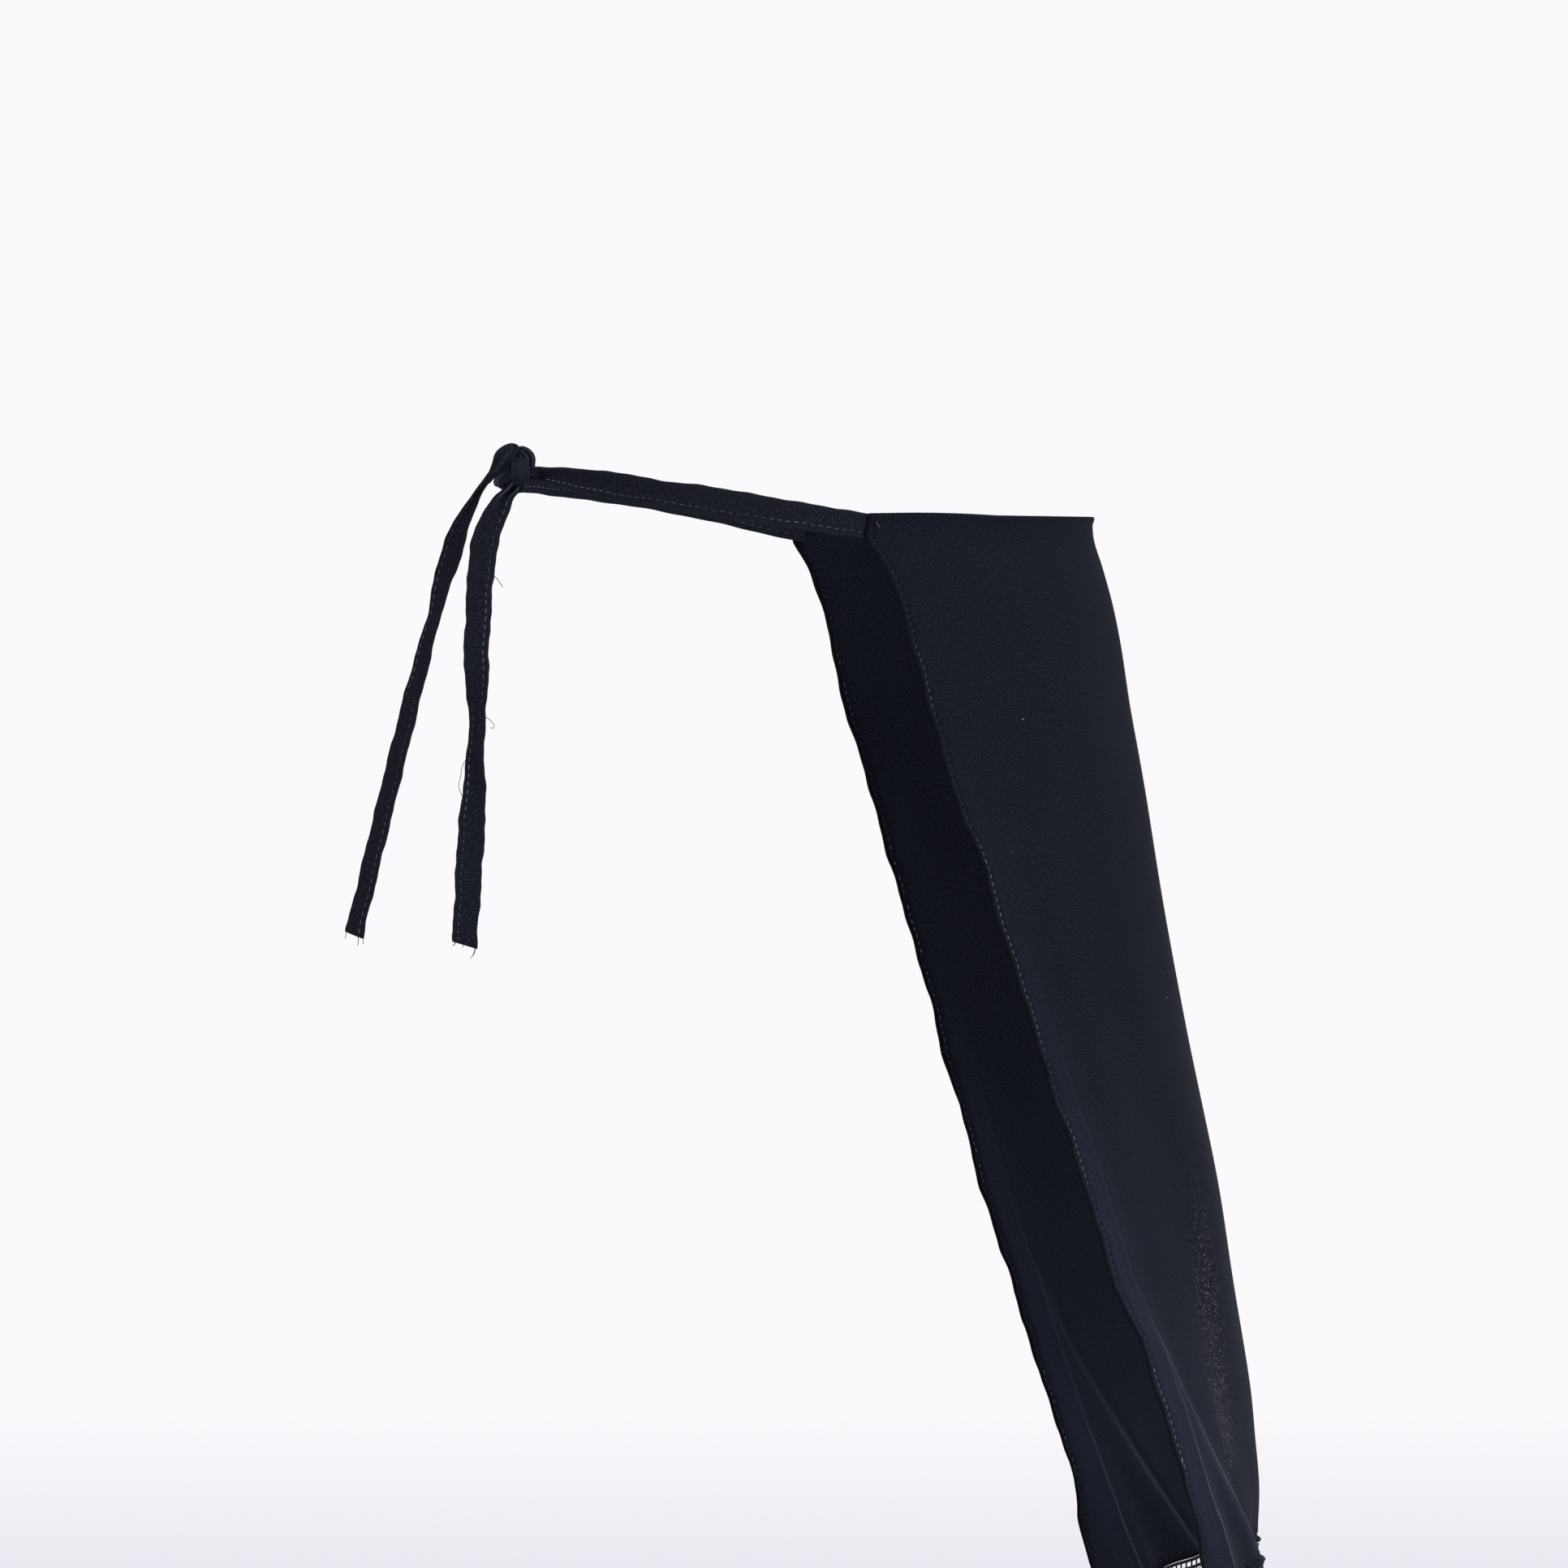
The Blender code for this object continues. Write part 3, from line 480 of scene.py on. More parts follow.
def crepe(name, dark, light, yarn_light, painted_light_tone):
    """The crepe's material. It reads three marks: the first holds the painted specks of light, the painted
    lighter and the painted shaded places, crest_away the millimetres to each crest, and crest_plain how
    plainly its painted highlight shows. A strap has only the first."""
    cloth = bpy.data.materials.new(name)
    cloth.use_nodes = True
    shader = cloth.node_tree.nodes["Principled BSDF"]
    shader.inputs["Roughness"].default_value = 0.85
    shader.inputs["Specular IOR Level"].default_value = 0.06
    shader.inputs["Sheen Weight"].default_value = 0.02
    shader.inputs["Sheen Roughness"].default_value = 0.4
    shader.inputs["Sheen Tint"].default_value = linear("#9aa4bc")
    where = add_node(cloth, "ShaderNodeUVMap", uv_map="Cloth")
    grain = add_node(
        cloth, "ShaderNodeTexNoise", {"Scale": 1000 / GRAIN_MM, "Detail": 3.0, "Roughness": 0.7},
        {"Vector": (where, "UV")},
    )
    ribs = add_node(
        cloth, "ShaderNodeTexWave", {"Scale": 1000 / RIB_MM / 20 * math.pi, "Distortion": 1.2, "Detail": 2.0},
        {"Vector": (where, "UV")}, wave_type="BANDS", bands_direction="Y",
    )
    mottle = add_node(
        cloth, "ShaderNodeTexNoise", {"Scale": 1000 / MOTTLE_MM, "Detail": 4.0, "Roughness": 0.55},
        {"Vector": (where, "UV")},
    )
    tone = add_node(
        cloth, "ShaderNodeMix", {6: linear(dark), 7: linear(light)}, {0: (mottle, "Fac")}, data_type="RGBA"
    )
    yarn = add_node(
        cloth, "ShaderNodeMapRange", {"From Min": 0.44, "From Max": 0.66, "To Max": 0.75},
        {"Value": (grain, "Fac")},
    )
    dyed = add_node(
        cloth, "ShaderNodeMix", {7: linear(yarn_light)}, {0: (yarn, "Result"), 6: (tone, 2)},
        data_type="RGBA",
    )
    painted_light_and_shade = add_node(cloth, "ShaderNodeAttribute", attribute_name="painted_light_and_shade")
    painted_parts = add_node(cloth, "ShaderNodeSeparateXYZ", links={0: (painted_light_and_shade, "Vector")})
    paler = add_node(
        cloth, "ShaderNodeMath", {1: 0.35}, {0: (painted_parts, "Y")}, operation="MULTIPLY"
    )
    # Painted light: paler where light comes through the thin cloth, beside the crests, and on a strap's
    # folded edges.
    painted_lighter = add_node(
        cloth, "ShaderNodeMix", {7: linear(painted_light_tone)}, {0: (paler, "Value"), 6: (dyed, 2)},
        data_type="RGBA",
    )
    # Painted shade: at a hem's edge and stitch groove, and in the hollows between a strap's pleats.
    shaded = add_node(
        cloth, "ShaderNodeMix", {7: linear(EDGE_SHADE_TONE)}, {0: (painted_parts, "Z"), 6: (painted_lighter, 2)},
        data_type="RGBA",
    )
    away = add_node(cloth, "ShaderNodeAttribute", attribute_name="crest_away")
    distance = add_node(
        cloth, "ShaderNodeVectorMath", links={0: (away, "Vector")}, operation="ABSOLUTE"
    )
    # Sockets 6 to 10 are a vector's value, its range from and to, and what these become.
    near = add_node(
        cloth, "ShaderNodeMapRange",
        {8: (CREST_SHARP_MM, CREST_SOFT_MM, 1.0), 9: (1.0, 0.7, 0.0), 10: (0.0, 0.0, 0.0)},
        {6: (distance, "Vector")}, data_type="FLOAT_VECTOR", interpolation_type="SMOOTHSTEP",
    )
    plain = add_node(cloth, "ShaderNodeAttribute", attribute_name="crest_plain")
    crest = add_node(
        cloth, "ShaderNodeVectorMath", links={0: (near, "Vector"), 1: (plain, "Vector")},
        operation="DOT_PRODUCT",
    )
    # The crests' painted highlight: a paler line along each crest, where it catches the light.
    highlight_share = add_node(cloth, "ShaderNodeMath", {1: 0.6}, {0: (crest, "Value")}, operation="MULTIPLY")
    highlighted = add_node(
        cloth, "ShaderNodeMix", {7: linear(CREST_LIGHT)}, {0: (highlight_share, "Value"), 6: (shaded, 2)},
        data_type="RGBA",
    )
    speck_grid = add_node(
        cloth, "ShaderNodeMapping",
        {"Scale": (SPECK_WIDE_MM / 1000, SPECK_LONG_MM / 1000, 1.0), "Rotation": (0.0, 0.0, SPECK_LEAN)},
        {"Vector": (where, "UV")}, vector_type="TEXTURE",
    )
    specks = add_node(
        cloth, "ShaderNodeTexVoronoi", {"Scale": 1.0, "Randomness": 0.6}, {"Vector": (speck_grid, "Vector")},
        feature="F1", voronoi_dimensions="2D",
    )
    speck_size = add_node(
        cloth, "ShaderNodeMapRange", {"From Min": 0.36, "From Max": 0.16, "To Max": 1.0},
        {"Value": (specks, "Distance")},
    )
    chance = add_node(cloth, "ShaderNodeSeparateColor", links={"Color": (specks, "Color")})
    picked = add_node(
        cloth, "ShaderNodeMath", links={0: (chance, "Red"), 1: (painted_parts, "X")}, operation="MULTIPLY"
    )
    often = add_node(
        cloth, "ShaderNodeMapRange", {"From Min": 0.46, "From Max": 0.92, "To Max": 0.95},
        {"Value": (picked, "Value")},
    )
    bright = add_node(
        cloth, "ShaderNodeMath", links={0: (chance, "Green"), 1: (often, "Result")}, operation="MULTIPLY"
    )
    speck = add_node(
        cloth, "ShaderNodeMath", links={0: (speck_size, "Result"), 1: (bright, "Value")},
        operation="MULTIPLY",
    )
    seen = add_node(
        cloth, "ShaderNodeMix", {7: linear(SPECK_LIGHT)}, {0: (speck, "Value"), 6: (highlighted, 2)},
        data_type="RGBA",
    )
    cloth.node_tree.links.new(seen.outputs[2], shader.inputs["Base Color"])
    woven = add_node(
        cloth, "ShaderNodeMath", {1: 0.6}, {0: (ribs, "Fac"), 2: (grain, "Fac")}, operation="MULTIPLY_ADD"
    )
    creased = add_node(cloth, "ShaderNodeBump", {"Distance": 0.0004}, {"Height": (crest, "Value")})
    bump = add_node(
        cloth, "ShaderNodeBump", {"Strength": 0.8, "Distance": 0.00016},
        {"Height": (woven, "Value"), "Normal": (creased, "Normal")},
    )
    cloth.node_tree.links.new(bump.outputs["Normal"], shader.inputs["Normal"])
    return cloth


veil.data.materials.clear()
veil_cloth = crepe("Veil crepe", dark="#07090f", light="#0a0c15", yarn_light="#1a1d2a", painted_light_tone="#323747")
veil.data.materials.append(veil_cloth)
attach(veil, "root")
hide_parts("veil_panel")

# The hem stitches: lockstitch in a greyish thread that shows as short dashes on the outer face. They run
# down both side hems and along the foot, 2.7 mm inside the edge, and catch the light in some stretches.
STITCH_PITCH_MM = 2.9
STITCH_LONG_MM = 2.0
THREAD_MM = 0.24
# The part of the side hems' length that is sewn, and how deep in the hem's wall its back lies.
HEM_SEWN = (0.026, 0.992)
HEM_BACK = 0.70
Catch = namedtuple("Catch", "level bright")
CATCHES = [
    Catch(-0.400, 0.10), Catch(-0.363, 0.15), Catch(-0.355, 0.90), Catch(-0.328, 1.00), Catch(-0.320, 0.15),
    Catch(-0.256, 0.05), Catch(-0.248, 0.95), Catch(-0.234, 0.80), Catch(-0.226, 0.10), Catch(-0.206, 0.20),
    Catch(-0.198, 0.90), Catch(-0.190, 0.55), Catch(-0.180, 0.85), Catch(-0.132, 1.00), Catch(-0.124, 0.10),
    Catch(-0.084, 0.10), Catch(-0.074, 0.60), Catch(-0.058, 0.45), Catch(-0.050, 0.05), Catch(0.000, 0.10),
]


def sew(name, seats, colour, catches=()):
    """A row of stitches as one piece: one stitch is modelled, and copied to each pair of its ends."""
    bpy.ops.mesh.primitive_uv_sphere_add(segments=6, ring_count=5, radius=1)
    made = bpy.context.object
    made.name = name
    stitch = np.array([vertex.co for vertex in made.data.vertices])
    faces = [tuple(face.vertices) for face in made.data.polygons]
    points = []
    for start, end, out in seats:
        along = (end - start).normalized()
        side = out.cross(along).normalized()
        turn = np.array([along * (end - start).length / 2, side * (THREAD_MM / 2000),
                         side.cross(along) * (-THREAD_MM / 2400)])
        points.append(stitch @ turn + np.array((start + end) / 2))
    mesh = bpy.data.meshes.new(name)
    mesh.from_pydata(
        np.concatenate(points).tolist(), [],
        [tuple(v + k * len(stitch) for v in face) for k in range(len(seats)) for face in faces],
    )
    made.data = mesh
    if catches:
        levels = [catch.level for catch in catches]
        bright = np.interp(np.concatenate(points)[:, 2], levels, [catch.bright for catch in catches])
        mesh.attributes.new("catch", "FLOAT", "POINT").data.foreach_set("value", bright)
    mesh.materials.append(colour)
    mesh.shade_smooth()
    return made


def thread_colour(name, dark, light, patchy=1.0):
    """A spun thread's material, for sewing, lace and loose yarns: smooth, with a soft shine and a fine twist.
    patchy is how much paler its patches are. The catch mark is where a stitch catches the light."""
    thread = bpy.data.materials.new(name)
    thread.use_nodes = True
    shader = thread.node_tree.nodes["Principled BSDF"]
    shader.inputs["Roughness"].default_value = 0.6
    shader.inputs["Specular IOR Level"].default_value = 0.15
    where = add_node(thread, "ShaderNodeTexCoord")
    patches = add_node(
        thread, "ShaderNodeTexNoise", {"Scale": 1000 / 42.0, "Detail": 2.0}, {"Vector": (where, "Object")}
    )
    spread = add_node(
        thread, "ShaderNodeMapRange", {"From Min": 0.46, "From Max": 0.64, "To Max": patchy},
        {"Value": (patches, "Fac")},
    )
    held = add_node(thread, "ShaderNodeAttribute", attribute_name="catch")
    lit = add_node(
        thread, "ShaderNodeMath", links={0: (spread, "Result"), 1: (held, "Fac")}, operation="MAXIMUM"
    )
    tone = add_node(
        thread, "ShaderNodeMix", {6: linear(dark), 7: linear(light)}, {0: (lit, "Value")}, data_type="RGBA"
    )
    thread.node_tree.links.new(tone.outputs[2], shader.inputs["Base Color"])
    twist = add_node(
        thread, "ShaderNodeTexWave", {"Scale": 1000 / 0.5 / 20 * math.pi}, {"Vector": (where, "Object")},
        bands_direction="DIAGONAL",
    )
    bump = add_node(
        thread, "ShaderNodeBump", {"Strength": 0.4, "Distance": 0.00005}, {"Height": (twist, "Fac")}
    )
    thread.node_tree.links.new(bump.outputs["Normal"], shader.inputs["Normal"])
    return thread


hem_thread = thread_colour("Hem thread", "#1c2029", "#7d828d", 0.2)
stitch_drops = STITCH_PITCH_MM / 1000 / VEIL_CUT_LENGTH
stitch_share = STITCH_LONG_MM / STITCH_PITCH_MM
hem_across = 1 - HEM_STITCH_MM / HALF_CLOTH_MM
foot_drop = 1 - HEM_STITCH_MM / VEIL_LONG_MM
hem_inside_mm = HEM_MM * HEM_BACK
faces_of_cloth = ((1, THREAD_MM / 4000), (-1, -hem_inside_mm / 1000 - THREAD_MM / 4000))
seats = []
for way, lift in faces_of_cloth:
    for side in (-1, 1):
        for k in range(*(int(end / stitch_drops) for end in HEM_SEWN)):
            start, out = veil_spot(side * hem_across, (k + 0.5) * stitch_drops, lift)
            end, _ = veil_spot(side * hem_across, (k + 0.5 + stitch_share) * stitch_drops, lift)
            seats.append((start, end, out * way))
    foot_step = STITCH_PITCH_MM / 1000 / VEIL_CUT_WIDTH * 2
    for k in range(int(2 * hem_across / foot_step)):
        start, out = veil_spot(-hem_across + k * foot_step, foot_drop, lift)
        end, _ = veil_spot(-hem_across + (k + stitch_share) * foot_step, foot_drop, lift)
        seats.append((start, end, out * way))
hem_stitches = sew("hem_stitches", seats, hem_thread, CATCHES)
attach(hem_stitches, "root")

# The lace: a narrow guipure edging, embroidered in dark cotton on a net that shows between its motifs. It
# is sewn under the foot hem, and each scallop has a flower, two leaves, an arched border and four picots.
LACE_DEPTH_MM = 21.0
SCALLOP_MM = 7.8
SCALLOP_RISE_MM = 4.0
RUFFLE_MM = 1.6
LACE_START_MM = 0.8
LACE_INSIDE_MM = 0.5
HEADER_DOWN_MM = 0.1
BAND_DOWN_MM = 2.9
INNER_ARCH_MM = 18.2
OUTER_ARCH_MM = 20.4
Thread = namedtuple("Thread", "radius_mm raised_mm")
NET = Thread(0.19, 0.0)
BAR = Thread(0.34, 0.05)
PETAL = Thread(0.46, 0.22)
BORDER = Thread(0.60, 0.25)
HEADER = Thread(0.60, 0.15)
PICOT = Thread(0.34, 0.15)
foot_line = places[-1]
scallops = round(float(np.linalg.norm(np.diff(foot_line, axis=0), axis=1).sum()) * 1000 / SCALLOP_MM)


def lace_spot(scallop, below_mm, raised_mm):
    """A point of the lace, at so many scallops from its right end and so far under the foot hem."""
    foot, out = veil_spot(2 * scallop / scallops - 1, 1.0)
    below = below_mm / LACE_DEPTH_MM
    wave = RUFFLE_MM * math.sin(math.pi * scallop) * below
    ahead = raised_mm + wave - LACE_INSIDE_MM
    return foot + Vector((0.0, -ahead / 1000, -(LACE_START_MM + below_mm) / 1000))


lace_lines = []


def lay(thread, points):
    """Lays a thread of the lace through (scallop, millimetres below the hem) points."""
    lace_lines.append([(lace_spot(s, mm, thread.raised_mm), thread.radius_mm) for s, mm in points])


def arch(scallop, depth_mm, rise_mm=SCALLOP_RISE_MM):
    """How far below the hem a scalloped line runs, whose lowest places are depth_mm down."""
    return depth_mm - rise_mm * abs(math.cos(math.pi * scallop))


SCALLOP_STEPS = 10
long_run = [k / SCALLOP_STEPS for k in range(scallops * SCALLOP_STEPS + 1)]
lay(HEADER, [(s, HEADER_DOWN_MM) for s in long_run[::2]])
lay(BORDER, [(s, BAND_DOWN_MM) for s in long_run[::2]])
lay(BORDER, [(s, arch(s, OUTER_ARCH_MM)) for s in long_run])
lay(BAR, [(s, arch(s, INNER_ARCH_MM)) for s in long_run])
for k in range(4 * scallops + 1):
    lay(BAR, [(k / 4, HEADER_DOWN_MM), (k / 4, BAND_DOWN_MM)])
NET_TOP_MM = 3.9
NET_ROW_MM = 1.9
NET_ROWS = 6
for row in range(NET_ROWS):
    top = NET_TOP_MM + row * NET_ROW_MM
    shift = row % 2
    lay(NET, [(k / 8, top + (0.5 if (k + shift) % 2 else -0.1)) for k in range(8 * scallops + 1)])
    for k in range(shift, 8 * scallops + 1, 2):
        lay(NET, [(k / 8, top - 0.1), (k / 8, top - NET_ROW_MM + 0.5)])
for k in range(8 * scallops + 1):
    lay(NET, [(k / 8, NET_TOP_MM + (NET_ROWS - 1) * NET_ROW_MM), (k / 8, arch(k / 8, INNER_ARCH_MM))])
for k in range(5 * scallops + 1):
    lay(BAR, [(k / 5, arch(k / 5, INNER_ARCH_MM)), (k / 5, arch(k / 5, OUTER_ARCH_MM))])
FLOWER_DOWN_MM = 9.3
PETALS = 6
PETAL_START_MM = 0.5
PETAL_LONG_MM = 3.1
PETAL_WIDE_MM = 0.95
EYE_MM = 0.6
# A leaf's outline: millimetres aside of the flower's middle, and millimetres under the hem.
LEAF = [(0.2, 13.4), (1.2, 14.0), (2.3, 15.4), (1.4, 16.0), (0.4, 15.0), (0.2, 13.4)]
ring_turns = np.linspace(0, 2 * math.pi, 7)
for flower in range(scallops):
    centre = flower + 0.5
    for petal in range(PETALS):
        heading = 2 * math.pi * (petal + 0.5) / PETALS
        points = []
        for k in range(9):
            turn = 2 * math.pi * k / 8
            out = PETAL_START_MM + PETAL_LONG_MM * (1 - math.cos(turn)) / 2
            wide = PETAL_WIDE_MM * math.sin(turn)
            aside = out * math.cos(heading) - wide * math.sin(heading)
            below = out * math.sin(heading) + wide * math.cos(heading)
            points.append((centre + aside / SCALLOP_MM, FLOWER_DOWN_MM + below))
        lay(PETAL, points)
    lay(PETAL, [
        (centre + EYE_MM * math.cos(a) / SCALLOP_MM, FLOWER_DOWN_MM + EYE_MM * math.sin(a))
        for a in ring_turns
    ])
    for leaf_side in (-1, 1):
        lay(PETAL, [(centre + leaf_side * aside / SCALLOP_MM, mm) for aside, mm in LEAF])
PICOT_LONG_MM = 1.0
PICOT_HALF_MM = 0.55
for k in range(4 * scallops):
    middle = (k + 0.5) / 4
    top = arch(middle, OUTER_ARCH_MM)
    lay(PICOT, [
        (middle + PICOT_HALF_MM * math.sin(a) / SCALLOP_MM, top + PICOT_LONG_MM * (1 - math.cos(a)) / 2)
        for a in ring_turns
    ])


def spin_threads(name, lines, sides, colour):
    """Threads as one mesh: round tubes through lines of (place, radius in millimetres) points."""
    data = bpy.data.curves.new(name, "CURVE")
    data.dimensions = "3D"
    data.bevel_depth = 0.001
    data.bevel_resolution = sides
    data.use_fill_caps = True
    for line in lines:
        spline = data.splines.new("POLY")
        spline.points.add(len(line) - 1)
        for point, (place, radius) in zip(spline.points, line):
            point.co = (*place, 1.0)
            point.radius = radius
    made = bpy.data.objects.new(name, data)
    bpy.context.collection.objects.link(made)
    bpy.ops.object.select_all(action="DESELECT")
    made.select_set(True)
    bpy.context.view_layer.objects.active = made
    bpy.ops.object.convert(target="MESH")
    made = bpy.context.object
    made.data.materials.clear()
    made.data.materials.append(colour)
    bpy.ops.object.shade_smooth()
    return made


lace = spin_threads("lace_edging", lace_lines, 0, thread_colour("Lace cotton", "#0f1118", "#1b1e28"))
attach(lace, "root")
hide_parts("lace_trim")

# The ties: straps of the same crepe, folded in and edge-stitched 2.5 mm above their lower edge. Each is sewn
# under a top corner of the veil, lies flat round the head opening, and is creased where the knot pinches.
TIE_WIDTH = 0.0105
TIE_THICK = 0.0012
TIE_FRONT_LEVEL = -0.0102
TIE_KNOT_LEVEL = 0.0098
TIE_SAG = 0.0008
FAR_TIE_RISE = 0.0036
FAR_TIE_RISE_ENDS = 0.62
TIE_CREASE = 0.0022
TIE_TUCK = 0.0012
TIE_TUCK_RUN = 0.05
TIE_TUCK_TURN = 2.6
TIE_STITCH_ANGLE = math.radians(116)
TIE_BOB = 0.00012
TIE_FINE_BOB = 0.00008
KNOT_RING_TURN = 70.3
KNOT_REACH = 0.0091
KNOT_REACH_TURN = math.degrees(KNOT_REACH / RING_HALF_WIDTH)
# How the knot pinches a tie: shares of its full width and of TIE_CREASE, along its way from the corner.
Pinch = namedtuple("Pinch", "along width crease")
PINCHES = [
    Pinch(0.00, 0.91, 0.00),
    Pinch(0.20, 0.97, 0.05),
    Pinch(0.44, 1.08, 0.10),
    Pinch(0.58, 0.94, 0.20),
    Pinch(0.69, 1.03, 0.35),
    Pinch(0.79, 0.89, 0.60),
    Pinch(0.88, 0.72, 0.85),
    Pinch(1.00, 0.46, 1.00),
]
Strap = namedtuple("Strap", "middle edge face half_wide half_thick crease pleat pleats")
STRAP_ROUND = 28
STRAP_GIRTH = 2.2
STRAP_BLUNT = 0.8
STRAP_SQUARE = 0.62
# A strap's folded edges and pleat crests carry painted highlights, and its pleat hollows painted shade.
STRAP_HIGHLIGHT = 0.35
STRAP_HIGHLIGHT_REACH = 0.10
PLEAT_LIGHT_AND_SHADE = 0.9
PLEAT_FULL = 0.0004


def signed_power(value, power):
    """A power that keeps the value's sign. It squares off a strap's oval section."""
    return math.copysign(abs(value) ** power, value)


def strap_spot(strap, angle):
    """A point on a strap's skin: its section is a flat oval, bent to a V by crease, ribbed by pleats."""
    sine = math.sin(angle)
    wide = signed_power(math.cos(angle), STRAP_BLUNT)
    thick = signed_power(sine, STRAP_SQUARE)
    bend = strap.crease * (abs(wide) - 0.5)
    rib = strap.pleat * math.cos(math.pi * strap.pleats * wide) * (1 - wide**2)
    return (
        strap.middle
        + strap.edge * (wide * strap.half_wide)
        + strap.face * (thick * strap.half_thick + bend + (rib if sine > 0 else 0.0))
    )


def strap_mark(strap, angle):
    """The painted light and shade of a strap's skin: painted highlights on its folded edges and pleat crests,
    painted shade in the hollows between them.
    """
    wide = signed_power(math.cos(angle), STRAP_BLUNT)
    highlighted = STRAP_HIGHLIGHT * hump(1 - abs(wide), STRAP_HIGHLIGHT_REACH)
    if not strap.pleat:
        return 0.0, highlighted, 0.0
    rise = math.cos(math.pi * strap.pleats * wide) * min(1.0, strap.pleat / PLEAT_FULL)
    return 0.0, highlighted + PLEAT_LIGHT_AND_SHADE * max(0.0, rise) ** 3, PLEAT_LIGHT_AND_SHADE * max(0.0, -rise) ** 2


def roll_strap(name, steps, strap_at, length, cloth, rounds=STRAP_ROUND):
    """A folded strap: a grid is rolled round its cross-sections, its seam is merged and its ends filled."""
    bpy.ops.mesh.primitive_grid_add(x_subdivisions=rounds, y_subdivisions=steps, size=2)
    made = bpy.context.object
    made.name = name
    straps = [strap_at(k / steps) for k in range(steps + 1)]
    marks = made.data.attributes.new("painted_light_and_shade", "FLOAT_VECTOR", "POINT")
    for vertex, mark in zip(made.data.vertices, marks.data):
        around = (vertex.co.x + 1) / 2
        strap = straps[round((vertex.co.y + 1) / 2 * steps)]
        mark.vector = strap_mark(strap, 2 * math.pi * around)
        vertex.co = strap_spot(strap, 2 * math.pi * around)
    made.data.uv_layers[0].name = "Cloth"
    for corner in made.data.uv_layers["Cloth"].data:
        corner.uv = (corner.uv.x * STRAP_GIRTH * TIE_WIDTH, corner.uv.y * length)
    bpy.ops.object.mode_set(mode="EDIT")
    bpy.ops.mesh.select_all(action="SELECT")
    bpy.ops.mesh.remove_doubles(threshold=1e-6)
    bpy.ops.mesh.select_all(action="DESELECT")
    bpy.ops.mesh.select_mode(type="EDGE")
    bpy.ops.mesh.select_non_manifold()
    bpy.ops.mesh.fill()
    bpy.ops.mesh.select_all(action="SELECT")
    bpy.ops.mesh.normals_make_consistent(inside=False)
    bpy.ops.object.mode_set(mode="OBJECT")
    made.data.materials.clear()
    made.data.materials.append(cloth)
    bpy.ops.object.shade_smooth()
    return made


def ring_outward(turn):
    """The way straight out of the head opening at a turn."""
    angle = math.radians(turn)
    out = Vector((math.cos(angle) / RING_HALF_WIDTH, math.sin(angle) / RING_BACK_RUN, 0.0))
    return out.normalized()


def tie_strap(share, side, end_turn):
    """The tie's cross-section at a share of its way from the veil's corner to the knot."""
    start_turn = CORNER_TURN - TIE_TUCK_TURN
    turn = start_turn + (end_turn - start_turn) * share
    along = max(0.0, (turn - CORNER_TURN) / (end_turn - CORNER_TURN))
    ring, out = ring_point(turn), ring_outward(turn)
    knot_back = ring_point(KNOT_RING_TURN).y
    rise = (ring.y + CORNER_FORWARD) / (knot_back + CORNER_FORWARD)
    level = TIE_FRONT_LEVEL + (TIE_KNOT_LEVEL - TIE_FRONT_LEVEL) * rise
    level -= TIE_SAG * math.sin(math.pi * along)
    if side > 0:
        level += FAR_TIE_RISE * math.sin(math.pi * min(1.0, along / FAR_TIE_RISE_ENDS))
    tuck = TIE_TUCK * max(0.0, 1 - along / TIE_TUCK_RUN)
    bob = TIE_BOB * math.sin(2 * math.pi * share * 7 + side)
    bob += TIE_FINE_BOB * math.sin(2 * math.pi * share * 15)
    middle = ring - out * (TIE_THICK / 2 + tuck) + Vector((0.0, 0.0, level + bob))
    width = TIE_WIDTH * through(PINCHES, "along", "width", along)
    crease = TIE_CREASE * through(PINCHES, "along", "crease", along)
    return Strap(
        Vector((side * middle.x, middle.y, middle.z)),
        Vector((0.0, 0.0, 1.0)),
        Vector((side * out.x, out.y, 0.0)),
        width / 2, TIE_THICK / 2 * (1 + 0.5 * along**4), crease, 0.0, 0,
    )


# The same crepe, set a shade paler than on the veil, and a paler thread.
tie_cloth = crepe("Tie crepe", dark="#0b0c13", light="#0f1018", yarn_light="#20232f", painted_light_tone="#3b404b")
tie_thread = thread_colour("Tie thread", "#3c404a", "#747984")
tie_seats = []
for name, side, end_turn, steps in (
    ("tie_strap_right", -1, KNOT_RING_TURN - KNOT_REACH_TURN, 110),
    ("tie_strap_left", 1, 180 - KNOT_RING_TURN - KNOT_REACH_TURN, 170),
):
    at = lambda share: tie_strap(share, side, end_turn)
    points = [at(k / steps).middle for k in range(steps + 1)]
    length = sum((b - a).length for a, b in zip(points, points[1:]))
    tie = roll_strap(name, steps, at, length, tie_cloth)
    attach(tie, "root")
    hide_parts(name.replace("_strap", ""))
    stitches = int(length * 1000 / STITCH_PITCH_MM)
    for face_side in (1, -1):
        angle = TIE_STITCH_ANGLE * face_side
        for k in range(2, stitches - 1):
            ends = [strap_spot(at((k + part) / stitches), angle) for part in (0, stitch_share)]
            tie_seats.append((*ends, at(k / stitches).face * face_side))
tie_stitches = sew("tie_stitches", tie_seats, tie_thread)
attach(tie_stitches, "root")

# The knot: the two ties are crossed and tied once round each other. What shows is a full loop over the top,
# a pleated turn beside it, a short band drawn tight across the middle, and the strap ends that run in.
KNOT_SIZE = 0.0160
KNOT_TURN = math.radians(10)
KNOT_LEVEL = 0.0081
KNOT_STAND_OUT = 0.0040
knot_out = ring_point(KNOT_RING_TURN) + ring_outward(KNOT_RING_TURN) * KNOT_STAND_OUT
KNOT_CENTRE = Vector((-knot_out.x, knot_out.y, KNOT_LEVEL))
KNOT_RIGHT = Vector((-math.sin(KNOT_TURN), -math.cos(KNOT_TURN), 0.0))
KNOT_FACE = Vector((-math.cos(KNOT_TURN), math.sin(KNOT_TURN), 0.0))

